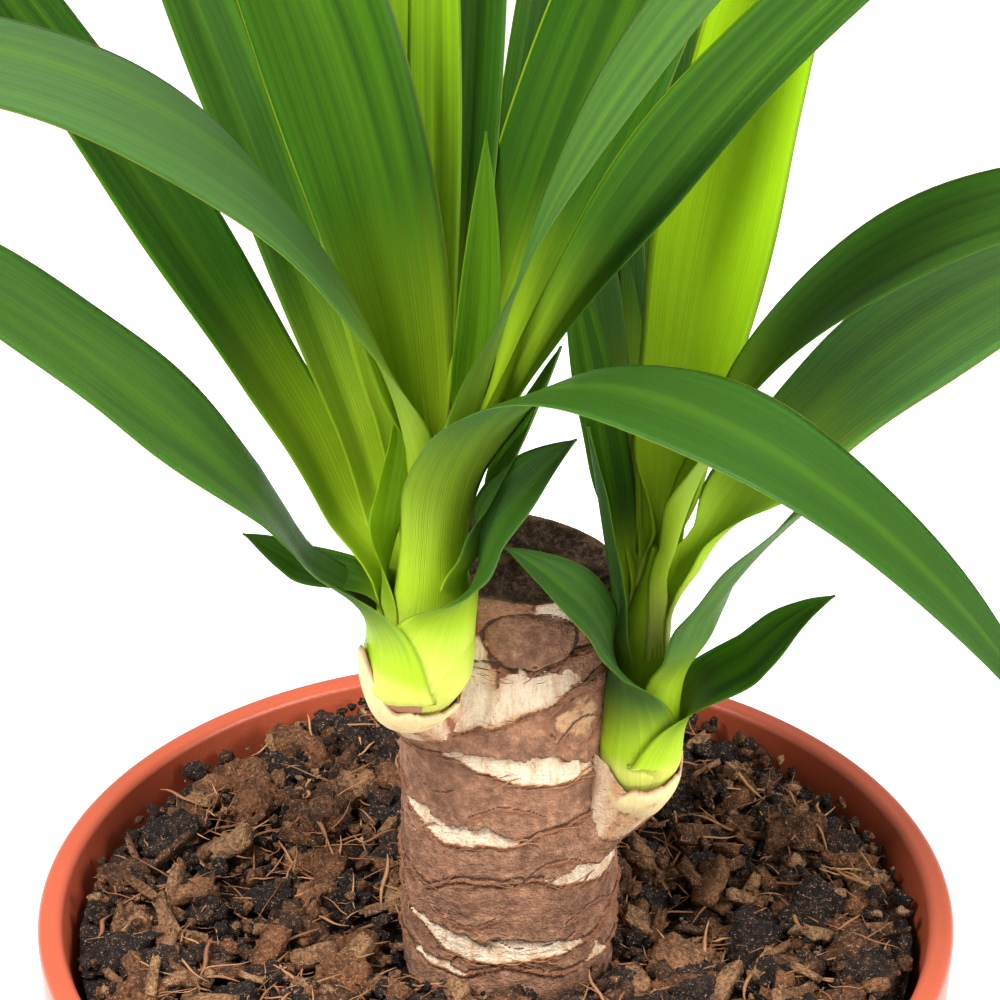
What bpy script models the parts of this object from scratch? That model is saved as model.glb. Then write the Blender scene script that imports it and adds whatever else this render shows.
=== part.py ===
"""A potted yucca: one sawn cane with two leafy shoots, in soil, in a plastic nursery pot.

Units are metres and +Z is up. The origin is the centre of the pot's foot. The side with
-Y faces the viewer, with the larger shoot at the cane's left, towards -X.
"""

import math
import random
from collections import namedtuple

import bmesh
import bpy
from mathutils import Matrix, Vector, noise

MM = 0.001
GAP = 0.0003

# Pot: a turned plastic shell with a thick rolled rim.
POT_HEIGHT = 0.140
RIM_RADIUS = 0.085
RIM_WIDTH = 0.0048
RIM_DROP = 0.014
RIM_ROUND = 0.0016
WALL = 0.0020
RIM_TAPER = 0.0006
FOOT_RADIUS = 0.061
FOOT_ROUND = 0.004
FLOOR = 0.0025
POT_SIDES = 48
DRAIN_COUNT = 6
DRAIN_RADIUS = 0.0045
DRAIN_CIRCLE = 0.042

# Soil: its mean level below the rim and the swell of its surface, as waves for each metre.
SOIL_DROP = 0.0095
SOIL_SWELL = 0.0022
SWELL_WAVES = (45, 110)
SOIL_SIDES = 36
SOIL_RINGS = 9

# Lumps: they cover the soil on a spiral, and each is a squashed ball with dents.
LUMP_COUNT = 104
LUMP_SIZES = (0.0110, 0.0160)
LUMP_SCATTER = 0.0022
LUMP_SEED = 11
LUMP_SINK = 0.07
LUMP_TILT = 0.5
LUMP_SQUASH = ((0.8, 1.2), (0.7, 1.0), (0.5, 0.75))
LUMP_DENT = 0.34
LUMP_DENTS = 1.5
WALL_CLEAR = 0.64
GOLDEN_ANGLE = math.pi * (3 - math.sqrt(5))

# The larger lumps: x, y and size in millimetres.
BIG_LUMPS = (
    (-28, 55, 7),
    (-35, 12, 13),
    (-61, 13, 9),
    (-60, 35, 11),
    (-54, -8, 12),
    (47, 49, 10),
    (35, 40, 12),
    (55, 33, 14),
    (70, 13, 9),
    (39, 5, 11),
    (55, 5, 8),
    (34, -12, 9),
    (64, -3, 11),
    (-30, -22, 10),
    (-8, 34, 9),
    (-58, -36, 12),
    (8, -62, 11),
    (46, -44, 12),
)

# Cane: a sawn trunk with ringed leaf scars and a slanting top.
CANE_X = 0.0025
CANE_RADIUS = 0.0205
CANE_FOOT = 0.062
CANE_TOP = 0.2145
CANE_TOP_SLANT = (-0.14, -0.12)
CANE_SIDES = 32
CANE_FLAT_FROM = 0.176
CANE_FLAT_RUN = 0.010
CANE_FLAT_DEPTH = 0.0030
CANE_WAVE = 0.0006
CANE_WAVE_TWIST = 60
BURIED = 0.004
BUD_SIZE = (0.0062, 0.0055)
SCAR_DEPTH = 0.0011
SCAR_RISE = 0.0035
SCAR_TILT = 0.0016
SCAR_TURN = 2.4
SCAR_EDGE = 0.0006
SCAR_LEVELS = (0.142, 0.1465, 0.1545, 0.1585, 0.1655, 0.171, 0.179, 0.1845, 0.190, 0.1975, 0.205)

# Leaves: a blade's thickness, its steps along its length and its narrow base.
BLADE_THICKNESS = 0.0008
BLADE_STEPS = 9
BLADE_TIP = 0.0010
BASE_WIDTH = 0.44
BASE_FOLD = 48
BASE_SHARE = 0.25
WIDEST = 0.48
TIP_TAPER = 1.9
ROOT_OUT = 0.003

Leaf = namedtuple("Leaf", "height azimuth lean arch swing length width fold")
Shoot = namedtuple("Shoot", "name route radii leaves sheath")

# One row for each leaf. Height above the shoot's foot, length and width are in
# millimetres and angles in degrees. Azimuth 0 points to +X and 270 to the viewer. Lean is
# the base's angle from upright, arch what the leaf leans further by its tip, and swing
# how far it turns sideways. Fold is the rise of the blade's two halves from its midrib.
LEFT_LEAVES = (
    Leaf(34, 125, 13, 13, 85, 195, 25, 14),
    Leaf(42, 90, 8, 3, 0, 150, 10, 25),
    Leaf(40, 92, 12, 22, 42, 165, 14, 20),
    Leaf(42, 72, 15, 8, 20, 165, 13, 25),
    Leaf(36, 60, 32, -8, 20, 175, 14, 20),
    Leaf(42, 10, 9, -9, 0, 72, 8, 25),
    Leaf(36, 45, 17, 8, -48, 195, 25, 16),
    Leaf(34, 318, 12, 50, 0, 225, 22, 14),
    Leaf(36, 358, 14, 38, -15, 190, 18, 20),
    Leaf(36, 212, 0, 104, -5, 222, 27, -18),
    Leaf(18, 143, 38, 6, 25, 205, 25, 12),
    Leaf(22, 122, 40, -3, 12, 190, 16, 20),
    Leaf(18, 190, 14, -18, 0, 46, 7, 25),
    Leaf(15, 195, 35, 20, 15, 165, 29, 10),
    Leaf(22, 172, 48, 24, 0, 34, 8, 20),
    Leaf(19, 290, 5, 142, 42, 194, 23, 2),
    Leaf(13, 306, 18, 45, 12, 86, 20, 18),
    Leaf(26, 320, 28, -10, 20, 60, 13, 20),
    Leaf(30, 98, 48, 30, 5, 185, 22, 20),
    Leaf(28, 80, 58, 50, -5, 165, 20, 10),
    Leaf(30, 110, 30, 40, -10, 190, 20, 20),
)
RIGHT_LEAVES = (
    Leaf(38, 60, 12, 5, -60, 185, 25, 12),
    Leaf(38, 347, 0, 103, -17, 176, 25, -6),
    Leaf(32, 40, 39, 84, -15, 165, 26, -8),
    Leaf(36, 120, 14, 14, 5, 150, 11, 20),
    Leaf(32, 168, 10, 18, -35, 76, 9, 20),
    Leaf(38, 100, 20, 6, 15, 145, 10, 20),
    Leaf(40, 100, 18, 22, -55, 165, 12, 20),
    Leaf(20, 312, 17, 42, 5, 88, 18, 12),
    Leaf(12, 0, 34, 22, -5, 47, 13, 12),
    Leaf(18, 250, 18, 42, -50, 62, 15, 16),
    Leaf(24, 215, 10, 2, 0, 56, 10, 24),
    Leaf(26, 80, 45, 40, 0, 165, 20, 14),
    Leaf(22, 88, 64, 35, 0, 135, 17, 10),
    Leaf(28, 72, 30, 25, 0, 175, 18, 20),
)

# Shoots: the stem's route in millimetres, from inside the cane up, with its radius at
# each point. The leaves' heights start from the route's third point, the foot. A sheath's
# values are its flap's azimuth in degrees and the flap's rise and flare in millimetres.
LEFT_SHOOT = Shoot(
    "left_shoot",
    ((-7, -8, 184), (-12, -13, 188), (-15, -17, 194), (-12, -21, 216), (-10, -24, 236), (-8, -24, 250)),
    (4.5, 6.2, 7.4, 7.0, 5.6, 2.6),
    LEFT_LEAVES,
    (215, 7, 4.5),
)
RIGHT_SHOOT = Shoot(
    "right_shoot",
    ((14, -5, 158), (20, -8, 164), (25, -9, 170), (26, -8, 192), (27, -7, 208), (28, -6, 220)),
    (4.5, 5.8, 6.8, 6.4, 5.0, 2.4),
    RIGHT_LEAVES,
    (205, 4, 4.5),
)
STEM_SIDES = 12

# Sheaths: the dry collar round each foot, torn along its top in waves of a height, a
# count round the collar and a start.
SHEATH_SIDES = 20
SHEATH_LEVELS = 3
SHEATH_WALL = 0.0007
SHEATH_CLEAR = 0.0011
SHEATH_DROP = 0.0002
SHEATH_RISE = 0.0045
SHEATH_FLARE = 0.0008
SHEATH_TEARS = ((0.0008, 7, 0), (0.0006, 11, 1))
FLAP_SHARPNESS = 6


def smooth(value):
    """Eases a value from 0 to 1."""
    value = min(max(value, 0.0), 1.0)
    return value * value * (3 - 2 * value)


def material(name, colour, roughness):
    """A Principled material, with the colour given as red, green and blue from 0 to 1."""
    made = bpy.data.materials.new(name)
    made.use_nodes = True
    shader = made.node_tree.nodes["Principled BSDF"]
    shader.inputs["Base Color"].default_value = (*colour, 1)
    shader.inputs["Roughness"].default_value = roughness
    shader.inputs["Metallic"].default_value = 0
    return made


def object_from(name, bm, finish=None):
    """Turns a bmesh into an object in the scene, its faces pointing outwards."""
    bmesh.ops.remove_doubles(bm, verts=bm.verts[:], dist=1e-6)
    bmesh.ops.recalc_face_normals(bm, faces=bm.faces[:])
    mesh = bpy.data.meshes.new(name)
    bm.to_mesh(mesh)
    bm.free()
    made = bpy.data.objects.new(name, mesh)
    bpy.context.scene.collection.objects.link(made)
    if finish:
        made.data.materials.append(finish)
    return made


def turned(outline, sides):
    """A closed body turned round Z from (radius, height) points. Both ends lie on the axis."""
    bm = bmesh.new()
    points = [bm.verts.new((radius, 0, height)) for radius, height in outline]
    edges = [bm.edges.new(pair) for pair in zip(points, points[1:])]
    bmesh.ops.spin(
        bm,
        geom=points + edges,
        axis=(0, 0, 1),
        cent=(0, 0, 0),
        angle=math.tau,
        steps=sides,
        use_merge=True,
    )
    bmesh.ops.remove_doubles(bm, verts=bm.verts[:], dist=1e-5)
    return bm


def wrapped(sides, levels, place):
    """A closed body: a grid wrapped round, where place(angle, level) gives each point."""
    bm = bmesh.new()
    bmesh.ops.create_grid(bm, x_segments=sides, y_segments=levels, size=1)
    for vertex in bm.verts:
        angle = math.pi * (vertex.co.x + 1)
        vertex.co = place(angle, round((vertex.co.y + 1) / 2 * levels))
    bmesh.ops.remove_doubles(bm, verts=bm.verts[:], dist=1e-6)
    bmesh.ops.holes_fill(bm, edges=bm.edges[:])
    return bm


def arc(centre, radius, start, end, steps):
    """Points on an arc in the (radius, height) plane, with its angles in degrees."""
    for step in range(steps + 1):
        angle = math.radians(start + (end - start) * step / steps)
        yield (centre[0] + radius * math.cos(angle), centre[1] + radius * math.sin(angle))


def apply_boolean(target, operation, other=None, collection=None):
    """Joins or cuts the target, keeps only its largest shell and removes the other objects."""
    cut = target.modifiers.new(operation.title(), "BOOLEAN")
    cut.operation = operation
    if collection:
        cut.operand_type = "COLLECTION"
        cut.collection = collection
    else:
        cut.object = other
    graph = bpy.context.evaluated_depsgraph_get()
    result = bpy.data.meshes.new_from_object(target.evaluated_get(graph))
    target.modifiers.clear()
    target.data = result
    keep_largest_shell(target)
    removed = list(collection.objects) if collection else [other]
    for used in removed:
        bpy.data.objects.remove(used)
    if collection:
        bpy.data.collections.remove(collection)


def keep_largest_shell(target):
    """Drops sealed hollows and loose scraps, which leaves one closed surface."""
    bm = bmesh.new()
    bm.from_mesh(target.data)
    unseen = set(bm.verts)
    shells = []
    while unseen:
        shell = {unseen.pop()}
        edge_of_shell = list(shell)
        while edge_of_shell:
            vertex = edge_of_shell.pop()
            for edge in vertex.link_edges:
                other = edge.other_vert(vertex)
                if other in unseen:
                    unseen.remove(other)
                    shell.add(other)
                    edge_of_shell.append(other)
        shells.append(shell)
    largest = max(shells, key=len)
    scraps = [vertex for shell in shells if shell is not largest for vertex in shell]
    bmesh.ops.delete(bm, geom=scraps, context="VERTS")
    bm.to_mesh(target.data)
    bm.free()


def pot_outline():
    """The pot's section, from the axis under its floor, up outside and back down inside."""
    inner_top = RIM_RADIUS - RIM_WIDTH
    shoulder = POT_HEIGHT - RIM_DROP
    slope = (inner_top + WALL - FOOT_RADIUS) / shoulder
    yield (0, 0)
    yield from arc((FOOT_RADIUS - FOOT_ROUND, FOOT_ROUND), FOOT_ROUND, -90, -8, 3)
    yield (inner_top + WALL, shoulder)
    yield (RIM_RADIUS - RIM_TAPER, shoulder)
    outer = (RIM_RADIUS - RIM_ROUND, POT_HEIGHT - RIM_ROUND)
    inner = (inner_top + RIM_ROUND, POT_HEIGHT - RIM_ROUND)
    yield from arc(outer, RIM_ROUND, 0, 90, 3)
    yield from arc(inner, RIM_ROUND, 90, 180, 3)
    yield (inner_top - slope * RIM_DROP, shoulder)
    yield (FOOT_RADIUS - WALL, FLOOR)
    yield (0, FLOOR)


def inner_radius(height):
    """The radius of the pot's inside at a height."""
    top = RIM_RADIUS - RIM_WIDTH
    share = (height - FLOOR) / (POT_HEIGHT - FLOOR)
    return FOOT_RADIUS - WALL + (top - FOOT_RADIUS + WALL) * share


def build_pot(finish):
    """The pot, with its drain holes drilled through the floor."""
    pot = object_from("pot", turned(list(pot_outline()), POT_SIDES), finish)
    bm = bmesh.new()
    for index in range(DRAIN_COUNT):
        angle = math.tau * index / DRAIN_COUNT
        place = Vector((math.cos(angle), math.sin(angle), 0)) * DRAIN_CIRCLE
        bmesh.ops.create_cone(
            bm,
            cap_ends=True,
            segments=10,
            radius1=DRAIN_RADIUS,
            radius2=DRAIN_RADIUS,
            depth=FLOOR * 4,
            matrix=Matrix.Translation(place),
        )
    apply_boolean(pot, "DIFFERENCE", object_from("drain_drill", bm))
    pot.data.shade_smooth()
    pot.data.set_sharp_from_angle(angle=math.radians(35))
    return pot


def soil_level(x, y):
    """The height of the soil's surface between its lumps."""
    broad, fine = (noise.noise(Vector((x, y, 0)) * wave) for wave in SWELL_WAVES)
    return POT_HEIGHT - SOIL_DROP + SOIL_SWELL * (broad + fine / 2)


def build_lump(bm, place, size, rng):
    """One clod: a small ball, squashed, turned and dented."""
    turn = Matrix.Rotation(rng.uniform(0, math.tau), 4, "Z")
    tilt = Matrix.Rotation(rng.uniform(-LUMP_TILT, LUMP_TILT), 4, "X")
    squash = Matrix.Diagonal([rng.uniform(*limits) for limits in LUMP_SQUASH] + [1])
    made = bmesh.ops.create_icosphere(bm, subdivisions=1, radius=size / 2)
    own_dents = Vector([rng.uniform(-9, 9) for _ in range(3)])
    for vertex in made["verts"]:
        vertex.co *= 1 + LUMP_DENT * noise.noise(vertex.co * LUMP_DENTS / size + own_dents)
    move = Matrix.Translation(place) @ turn @ tilt @ squash
    bmesh.ops.transform(bm, matrix=move, verts=made["verts"])


def lump_places(rng):
    """Where the lumps lie: the larger ones, then one at each step of a spiral between them."""
    large = [(Vector((x, y)) * MM, size * MM) for x, y, size in BIG_LUMPS]
    yield from large
    wall = inner_radius(POT_HEIGHT - SOIL_DROP)
    for index in range(LUMP_COUNT):
        size = rng.uniform(*LUMP_SIZES)
        share = (index + 0.5) / LUMP_COUNT
        radius = math.sqrt(CANE_RADIUS**2 + (wall**2 - CANE_RADIUS**2) * share)
        radius = min(radius + rng.uniform(-1, 1) * LUMP_SCATTER, wall - size * WALL_CLEAR)
        angle = index * GOLDEN_ANGLE
        place = Vector((math.cos(angle), math.sin(angle))) * radius
        if all((place - other).length > other_size / 2 for other, other_size in large):
            yield place, size


def build_soil(finish):
    """The potting mix: a body that fills the pot, its lumps, and a plain hole for the cane."""
    level = POT_HEIGHT - SOIL_DROP
    floor = FLOOR + GAP
    outline = [(0, floor), (inner_radius(floor) - 2 * GAP, floor)]
    side = inner_radius(level - 2 * SOIL_SWELL) - 2 * GAP
    outline += [(side * (1 - ring / SOIL_RINGS), level) for ring in range(SOIL_RINGS + 1)]
    bm = turned(outline, SOIL_SIDES)
    for vertex in bm.verts:
        if vertex.co.z > level - GAP:
            vertex.co.z = soil_level(vertex.co.x, vertex.co.y)
    soil = object_from("soil", bm, finish)
    rng = random.Random(LUMP_SEED)
    lumps = bpy.data.collections.new("lumps")
    bpy.context.scene.collection.children.link(lumps)
    for place, size in lump_places(rng):
        bm = bmesh.new()
        build_lump(bm, Vector((*place, soil_level(*place) + size * LUMP_SINK)), size, rng)
        lump = object_from("lump", bm)
        bpy.context.scene.collection.objects.unlink(lump)
        lumps.objects.link(lump)
    apply_boolean(soil, "UNION", collection=lumps)
    bm = bmesh.new()
    bmesh.ops.create_cone(
        bm,
        cap_ends=True,
        segments=CANE_SIDES,
        radius1=CANE_RADIUS + 2 * GAP,
        radius2=CANE_RADIUS + 2 * GAP,
        depth=CANE_TOP - CANE_FOOT,
        matrix=Matrix.Translation((CANE_X, 0, (CANE_TOP + CANE_FOOT) / 2 - GAP)),
    )
    apply_boolean(soil, "DIFFERENCE", object_from("cane_hole", bm))
    return soil


def scar_relief(angle, height):
    """How far a leaf-scar groove cuts in, at an angle round the cane and a height."""
    depth = 0
    for index, level in enumerate(SCAR_LEVELS):
        tilt = SCAR_TILT * math.sin(angle + SCAR_TURN * index)
        distance = height - level - tilt
        if 0 <= distance < SCAR_RISE:
            depth = max(depth, SCAR_DEPTH * (1 - distance / SCAR_RISE))
    return depth


def cane_radius(angle, height):
    """The cane's radius, which only ever cuts in from the plain round trunk."""
    if height < POT_HEIGHT - SOIL_DROP - BURIED:
        return CANE_RADIUS
    flat = smooth((height - CANE_FLAT_FROM) / CANE_FLAT_RUN) * max(0.0, math.cos(angle)) ** 3
    waves = CANE_WAVE * (1 + math.sin(3 * angle + CANE_WAVE_TWIST * height))
    return CANE_RADIUS - scar_relief(angle, height) - CANE_FLAT_DEPTH * flat - waves


def cane_heights():
    """The levels that the cane's surface is drawn at, two for each scar."""
    below_soil = POT_HEIGHT - SOIL_DROP - BURIED - MM
    scars = [level + side * SCAR_EDGE for level in SCAR_LEVELS for side in (-1, 1)]
    return [CANE_FOOT, below_soil, *scars, CANE_TOP]


def build_cane(grow=0.0, finish=None):
    """The cane with the two buds that its shoots break from. Grow swells it all round."""
    heights = cane_heights()

    def place(angle, level):
        height = heights[level]
        radius = cane_radius(angle, height) + grow
        point = Vector((radius * math.cos(angle), radius * math.sin(angle), height))
        if level == 0:
            point.z -= grow
        if level == len(heights) - 1:
            point.z += grow + CANE_TOP_SLANT[0] * point.x + CANE_TOP_SLANT[1] * point.y
        return point + Vector((CANE_X, 0, 0))

    cane = object_from("cane", wrapped(CANE_SIDES, len(heights) - 1, place), finish)
    for shoot in (LEFT_SHOOT, RIGHT_SHOOT):
        bm = bmesh.new()
        shift = Matrix.Translation(Vector(shoot.route[1]) * MM)
        scale = Matrix.Diagonal((BUD_SIZE[0] + grow, BUD_SIZE[0] + grow, BUD_SIZE[1] + grow, 1))
        bmesh.ops.create_icosphere(bm, subdivisions=2, radius=1, matrix=shift @ scale)
        apply_boolean(cane, "UNION", object_from("bud", bm))
    return cane


def stem_point(shoot, height):
    """The point on a shoot's stem at a height in millimetres above its foot."""
    foot = Vector(shoot.route[2])
    points = [Vector(point) for point in shoot.route[2:]]
    level = foot.z + height
    for low, high in zip(points, points[1:]):
        if level <= high.z:
            return low.lerp(high, (level - low.z) / (high.z - low.z)) * MM
    return points[-1] * MM


def blade_root(shoot, leaf):
    """Where a blade starts: inside the stem, on the side that it leaves from."""
    azimuth = math.radians(leaf.azimuth)
    return stem_point(shoot, leaf.height) + Vector((math.cos(azimuth), math.sin(azimuth), 0)) * ROOT_OUT


def blade_half_width(leaf, along):
    """Half a blade's width at a share of its length."""
    opening = BASE_WIDTH + (1 - BASE_WIDTH) * smooth(along / WIDEST)
    closing = 1 - max(0.0, (along - WIDEST) / (1 - WIDEST)) ** TIP_TAPER
    return max(leaf.width * MM / 2 * opening * closing, BLADE_TIP / 2)


def blade_frame(leaf, along):
    """The way a blade points at a share of its length, its side and its upper face."""
    lean = math.radians(leaf.lean + leaf.arch * along)
    azimuth = math.radians(leaf.azimuth + leaf.swing * along)
    outward = Vector((math.cos(azimuth), math.sin(azimuth), 0))
    forward = outward * math.sin(lean) + Vector((0, 0, math.cos(lean)))
    side = Vector((-outward.y, outward.x, 0))
    return forward, side, forward.cross(side)


def build_blade(shoot, leaf):
    """One leaf: a grid drawn along its arching midrib and folded up at both sides of it."""
    bm = bmesh.new()
    bmesh.ops.create_grid(bm, x_segments=2, y_segments=BLADE_STEPS, size=1)
    step = leaf.length * MM / BLADE_STEPS
    point = blade_root(shoot, leaf)
    for row in range(BLADE_STEPS + 1):
        along = row / BLADE_STEPS
        forward, side, upper = blade_frame(leaf, along)
        fold = math.radians(leaf.fold + (BASE_FOLD - leaf.fold) * (1 - smooth(along / BASE_SHARE)))
        half = blade_half_width(leaf, along)
        for vertex in bm.verts:
            if abs(vertex.co.y - (2 * along - 1)) < 1e-5 and not vertex.tag:
                across = vertex.co.x * half
                vertex.co = point + side * across * math.cos(fold) + upper * abs(across) * math.sin(fold)
                vertex.tag = True
        point = point + blade_frame(leaf, along + 0.5 / BLADE_STEPS)[0] * step
    bmesh.ops.triangulate(bm, faces=bm.faces[:])
    bmesh.ops.solidify(bm, geom=bm.faces[:], thickness=BLADE_THICKNESS)
    return object_from("blade", bm)


def build_stem(shoot):
    """A shoot's stem: a tube along its route, closed at both ends."""
    points = [Vector(point) * MM for point in shoot.route]

    def place(angle, level):
        ahead = points[min(level + 1, len(points) - 1)] - points[max(level - 1, 0)]
        across = Vector((1, 0, 0)).cross(ahead).normalized()
        back = across.cross(ahead).normalized()
        around = back * math.cos(angle) + across * math.sin(angle)
        return points[level] + around * shoot.radii[level] * MM

    return object_from(shoot.name, wrapped(STEM_SIDES, len(points) - 1, place))


def build_shoot(shoot, finish):
    """A leafy stem: the stem with all its leaves grown into it, cut clear of the cane."""
    stem = build_stem(shoot)
    stem.data.materials.append(finish)
    blades = bpy.data.collections.new("blades")
    bpy.context.scene.collection.children.link(blades)
    for leaf in shoot.leaves:
        blade = build_blade(shoot, leaf)
        bpy.context.scene.collection.objects.unlink(blade)
        blades.objects.link(blade)
    apply_boolean(stem, "UNION", collection=blades)
    apply_boolean(stem, "DIFFERENCE", build_cane(grow=GAP))
    return stem


def build_sheath(shoot, name, finish):
    """The papery collar round a shoot's foot: a thin open tube, torn at its top, with a flap."""
    flap_azimuth, flap_rise, flap_flare = shoot.sheath
    foot = Vector(shoot.route[2]) * MM
    base = shoot.radii[2] * MM + SHEATH_CLEAR
    bm = bmesh.new()
    bmesh.ops.create_grid(bm, x_segments=SHEATH_SIDES, y_segments=SHEATH_LEVELS, size=1)
    for vertex in bm.verts:
        angle = math.pi * (vertex.co.x + 1)
        level = (vertex.co.y + 1) / 2
        flap = max(0.0, math.cos(angle - math.radians(flap_azimuth))) ** FLAP_SHARPNESS
        torn = sum(high * math.sin(count * angle + start) for high, count, start in SHEATH_TEARS)
        top = SHEATH_RISE + torn + flap * flap_rise * MM
        radius = base + level * (SHEATH_FLARE + flap * flap_flare * MM)
        height = -SHEATH_DROP + (top + SHEATH_DROP) * level
        middle = stem_point(shoot, max(height, 0) / MM)
        vertex.co = Vector((radius * math.cos(angle), radius * math.sin(angle), 0)) + middle
        vertex.co.z = foot.z + height
    bmesh.ops.remove_doubles(bm, verts=bm.verts[:], dist=1e-6)
    bmesh.ops.triangulate(bm, faces=bm.faces[:])
    bmesh.ops.recalc_face_normals(bm, faces=bm.faces[:])
    bmesh.ops.solidify(bm, geom=bm.faces[:], thickness=-SHEATH_WALL)
    sheath = object_from(name, bm, finish)
    apply_boolean(sheath, "DIFFERENCE", build_cane(grow=GAP))
    return sheath


def main():
    for old in list(bpy.data.objects):
        bpy.data.objects.remove(old)
    terracotta = material("terracotta_plastic", (0.62, 0.16, 0.09), 0.55)
    potting_mix = material("potting_mix", (0.045, 0.026, 0.016), 0.95)
    bark = material("cane_bark", (0.24, 0.16, 0.11), 0.9)
    dry_sheath = material("dry_sheath", (0.62, 0.50, 0.32), 0.85)
    leaf_green = material("leaf_green", (0.12, 0.26, 0.03), 0.45)
    build_pot(terracotta)
    build_soil(potting_mix)
    build_cane(finish=bark)
    build_shoot(LEFT_SHOOT, leaf_green)
    build_shoot(RIGHT_SHOOT, leaf_green)
    build_sheath(LEFT_SHOOT, "left_sheath", dry_sheath)
    build_sheath(RIGHT_SHOOT, "right_sheath", dry_sheath)


if __name__ == "__main__":
    main()
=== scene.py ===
"""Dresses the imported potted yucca: pot, soil, ringed cane, two leafy shoots and their dry sheaths.

Units are metres, +Z is up and the viewer stands at -Y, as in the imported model.
"""

import math
import random
from collections import namedtuple

import bmesh
import bpy
from bpy.props import FloatProperty, FloatVectorProperty, IntProperty, PointerProperty
from mathutils import Matrix, Vector, noise


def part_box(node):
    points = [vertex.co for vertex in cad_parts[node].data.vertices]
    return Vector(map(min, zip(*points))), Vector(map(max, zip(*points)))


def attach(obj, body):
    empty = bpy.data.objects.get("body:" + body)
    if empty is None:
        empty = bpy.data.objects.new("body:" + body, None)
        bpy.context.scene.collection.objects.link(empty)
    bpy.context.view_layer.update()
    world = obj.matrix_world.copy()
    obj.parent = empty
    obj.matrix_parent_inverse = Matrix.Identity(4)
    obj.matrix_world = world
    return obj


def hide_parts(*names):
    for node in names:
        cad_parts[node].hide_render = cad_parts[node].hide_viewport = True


bl_info = {
    "name": "Potted Yucca",
    "version": (1, 0, 0),
    "blender": (4, 5, 0),
    "location": "3D View > Sidebar > Yucca",
    "description": "Builds the finished surfaces of a young cane yucca in its nursery pot",
    "category": "Object",
}

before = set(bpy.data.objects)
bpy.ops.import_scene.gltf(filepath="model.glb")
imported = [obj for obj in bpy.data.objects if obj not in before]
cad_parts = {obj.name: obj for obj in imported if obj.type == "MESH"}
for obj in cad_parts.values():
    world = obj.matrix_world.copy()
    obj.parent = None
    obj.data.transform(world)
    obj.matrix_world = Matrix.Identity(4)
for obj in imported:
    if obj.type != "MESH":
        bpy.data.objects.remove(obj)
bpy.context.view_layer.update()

MM = 0.001

# Pot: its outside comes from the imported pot, and its walls are as thick as that one's.
POT_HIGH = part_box("pot")[1]
POT_HEIGHT = POT_HIGH.z
RIM_RADIUS = POT_HIGH.x
RIM_WIDTH = 0.0048
RIM_DROP = 0.014
RIM_ROUND = 0.0016
RIM_TAPER = 0.0006
WALL = 0.0020
FOOT_RADIUS = 0.061
FOOT_ROUND = 0.004
FLOOR = 0.0025
FOOT_RING = 0.8
FLOOR_RING = 0.75
FLOOR_CORNER = 0.001
NECK_OUT = 0.0012
NECK_DROP = 0.0006
NECK_ROUND = 0.0009
RIM_EDGE = 0.0007
SHARP_EDGE = math.radians(40)
LEVEL_FACE = 0.999
POT_SIDES = 192
DRAIN_COUNT = 6
DRAIN_SIDES = 32
DRAIN_RADIUS = 0.0045
DRAIN_CIRCLE = 0.042

# Soil bed, as in the packed soil.
GAP = 0.0003
SOIL_DROP = 0.0095
SOIL_SWELL = 0.0022
SWELL_WAVES = (45, 110)
SOIL_RISE = 0.0034
RISE_FROM = 0.040
RISE_WIDTH = 0.030
LUMP_COUNT = 104
LUMP_SIZES = (0.0110, 0.0160)
LUMP_SCATTER = 0.0022
LUMP_SEED = 11
LUMP_SINK = 0.07
LUMP_TILT = 0.5
LUMP_SQUASH = ((0.8, 1.2), (0.7, 1.0), (0.5, 0.75))
LUMP_DENT = 0.34
LUMP_DENTS = 1.5
WALL_CLEAR = 0.64
GOLDEN_ANGLE = math.pi * (3 - math.sqrt(5))
CLOD_WAVES = ((2.2, 0.7), (5, 0.55), (11, 0.45), (22, 0.28))
CLOD_ROUGH = 0.36
CLOD_FACETS = 9
CLOD_DETAIL = 4
FACET_NEAR = 0.36
FACET_STEP = 0.02
CLOD_TINTS = (0.0, 0.02, 0.05, 0.1, 0.28, 0.45, 0.7)
BED_SIDES = 200
BED_RINGS = 90
BED_GRAIN = (260, 0.0012)
# The bed shows between the lumps; its mostly dark peat tint is partly painted shade in those gaps.
BED_TINT = (0.06, 0.3, 90)
CRUMB_DENT = 0.8
CRUMB_DENTS = 2.4
CHIP_WIDTHS = (0.35, 0.7)
CHIP_THICKNESS = 0.22
CHIP_CURL = 0.16
CHIP_SLIMNESS = (1, 1, 0.7, 0.35)
FIBRE_THICKNESS = (0.02, 0.07)
FIBRE_BEND = 0.08
FIBRE_SLIM = 0.003

# Loose bits on the soil: the seed of their random draws, how far they keep from the wall, the
# ranges of their sizes and of their heights above the soil, and their tints.
Loose = namedtuple("Loose", "seed clear sizes heights tints")
CRUMB_TINTS = (0.0, 0.0, 0.05, 0.1, 0.2, 0.35, 0.5, 0.9)
CRUMBS = Loose(21, 0.0015, (0.0016, 0.0048), (0, 0.0040), CRUMB_TINTS)
FINE_CRUMBS = Loose(24, 0.0015, (0.0010, 0.0030), (0, 0.0040), CRUMB_TINTS)
CHIP_TINTS = (0.2, 0.3, 0.4, 0.5, 0.6, 0.75, 0.95)
CHIPS = Loose(22, 0.006, (0.0035, 0.0105), (0.0012, 0.0046), CHIP_TINTS)
FIBRES = Loose(23, 0.006, (0.003, 0.014), (0.001, 0.0048), ())
CRUMB_MOULDS = 12
CHIP_MOULDS = 10
FIBRE_MOULDS = 16

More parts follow.
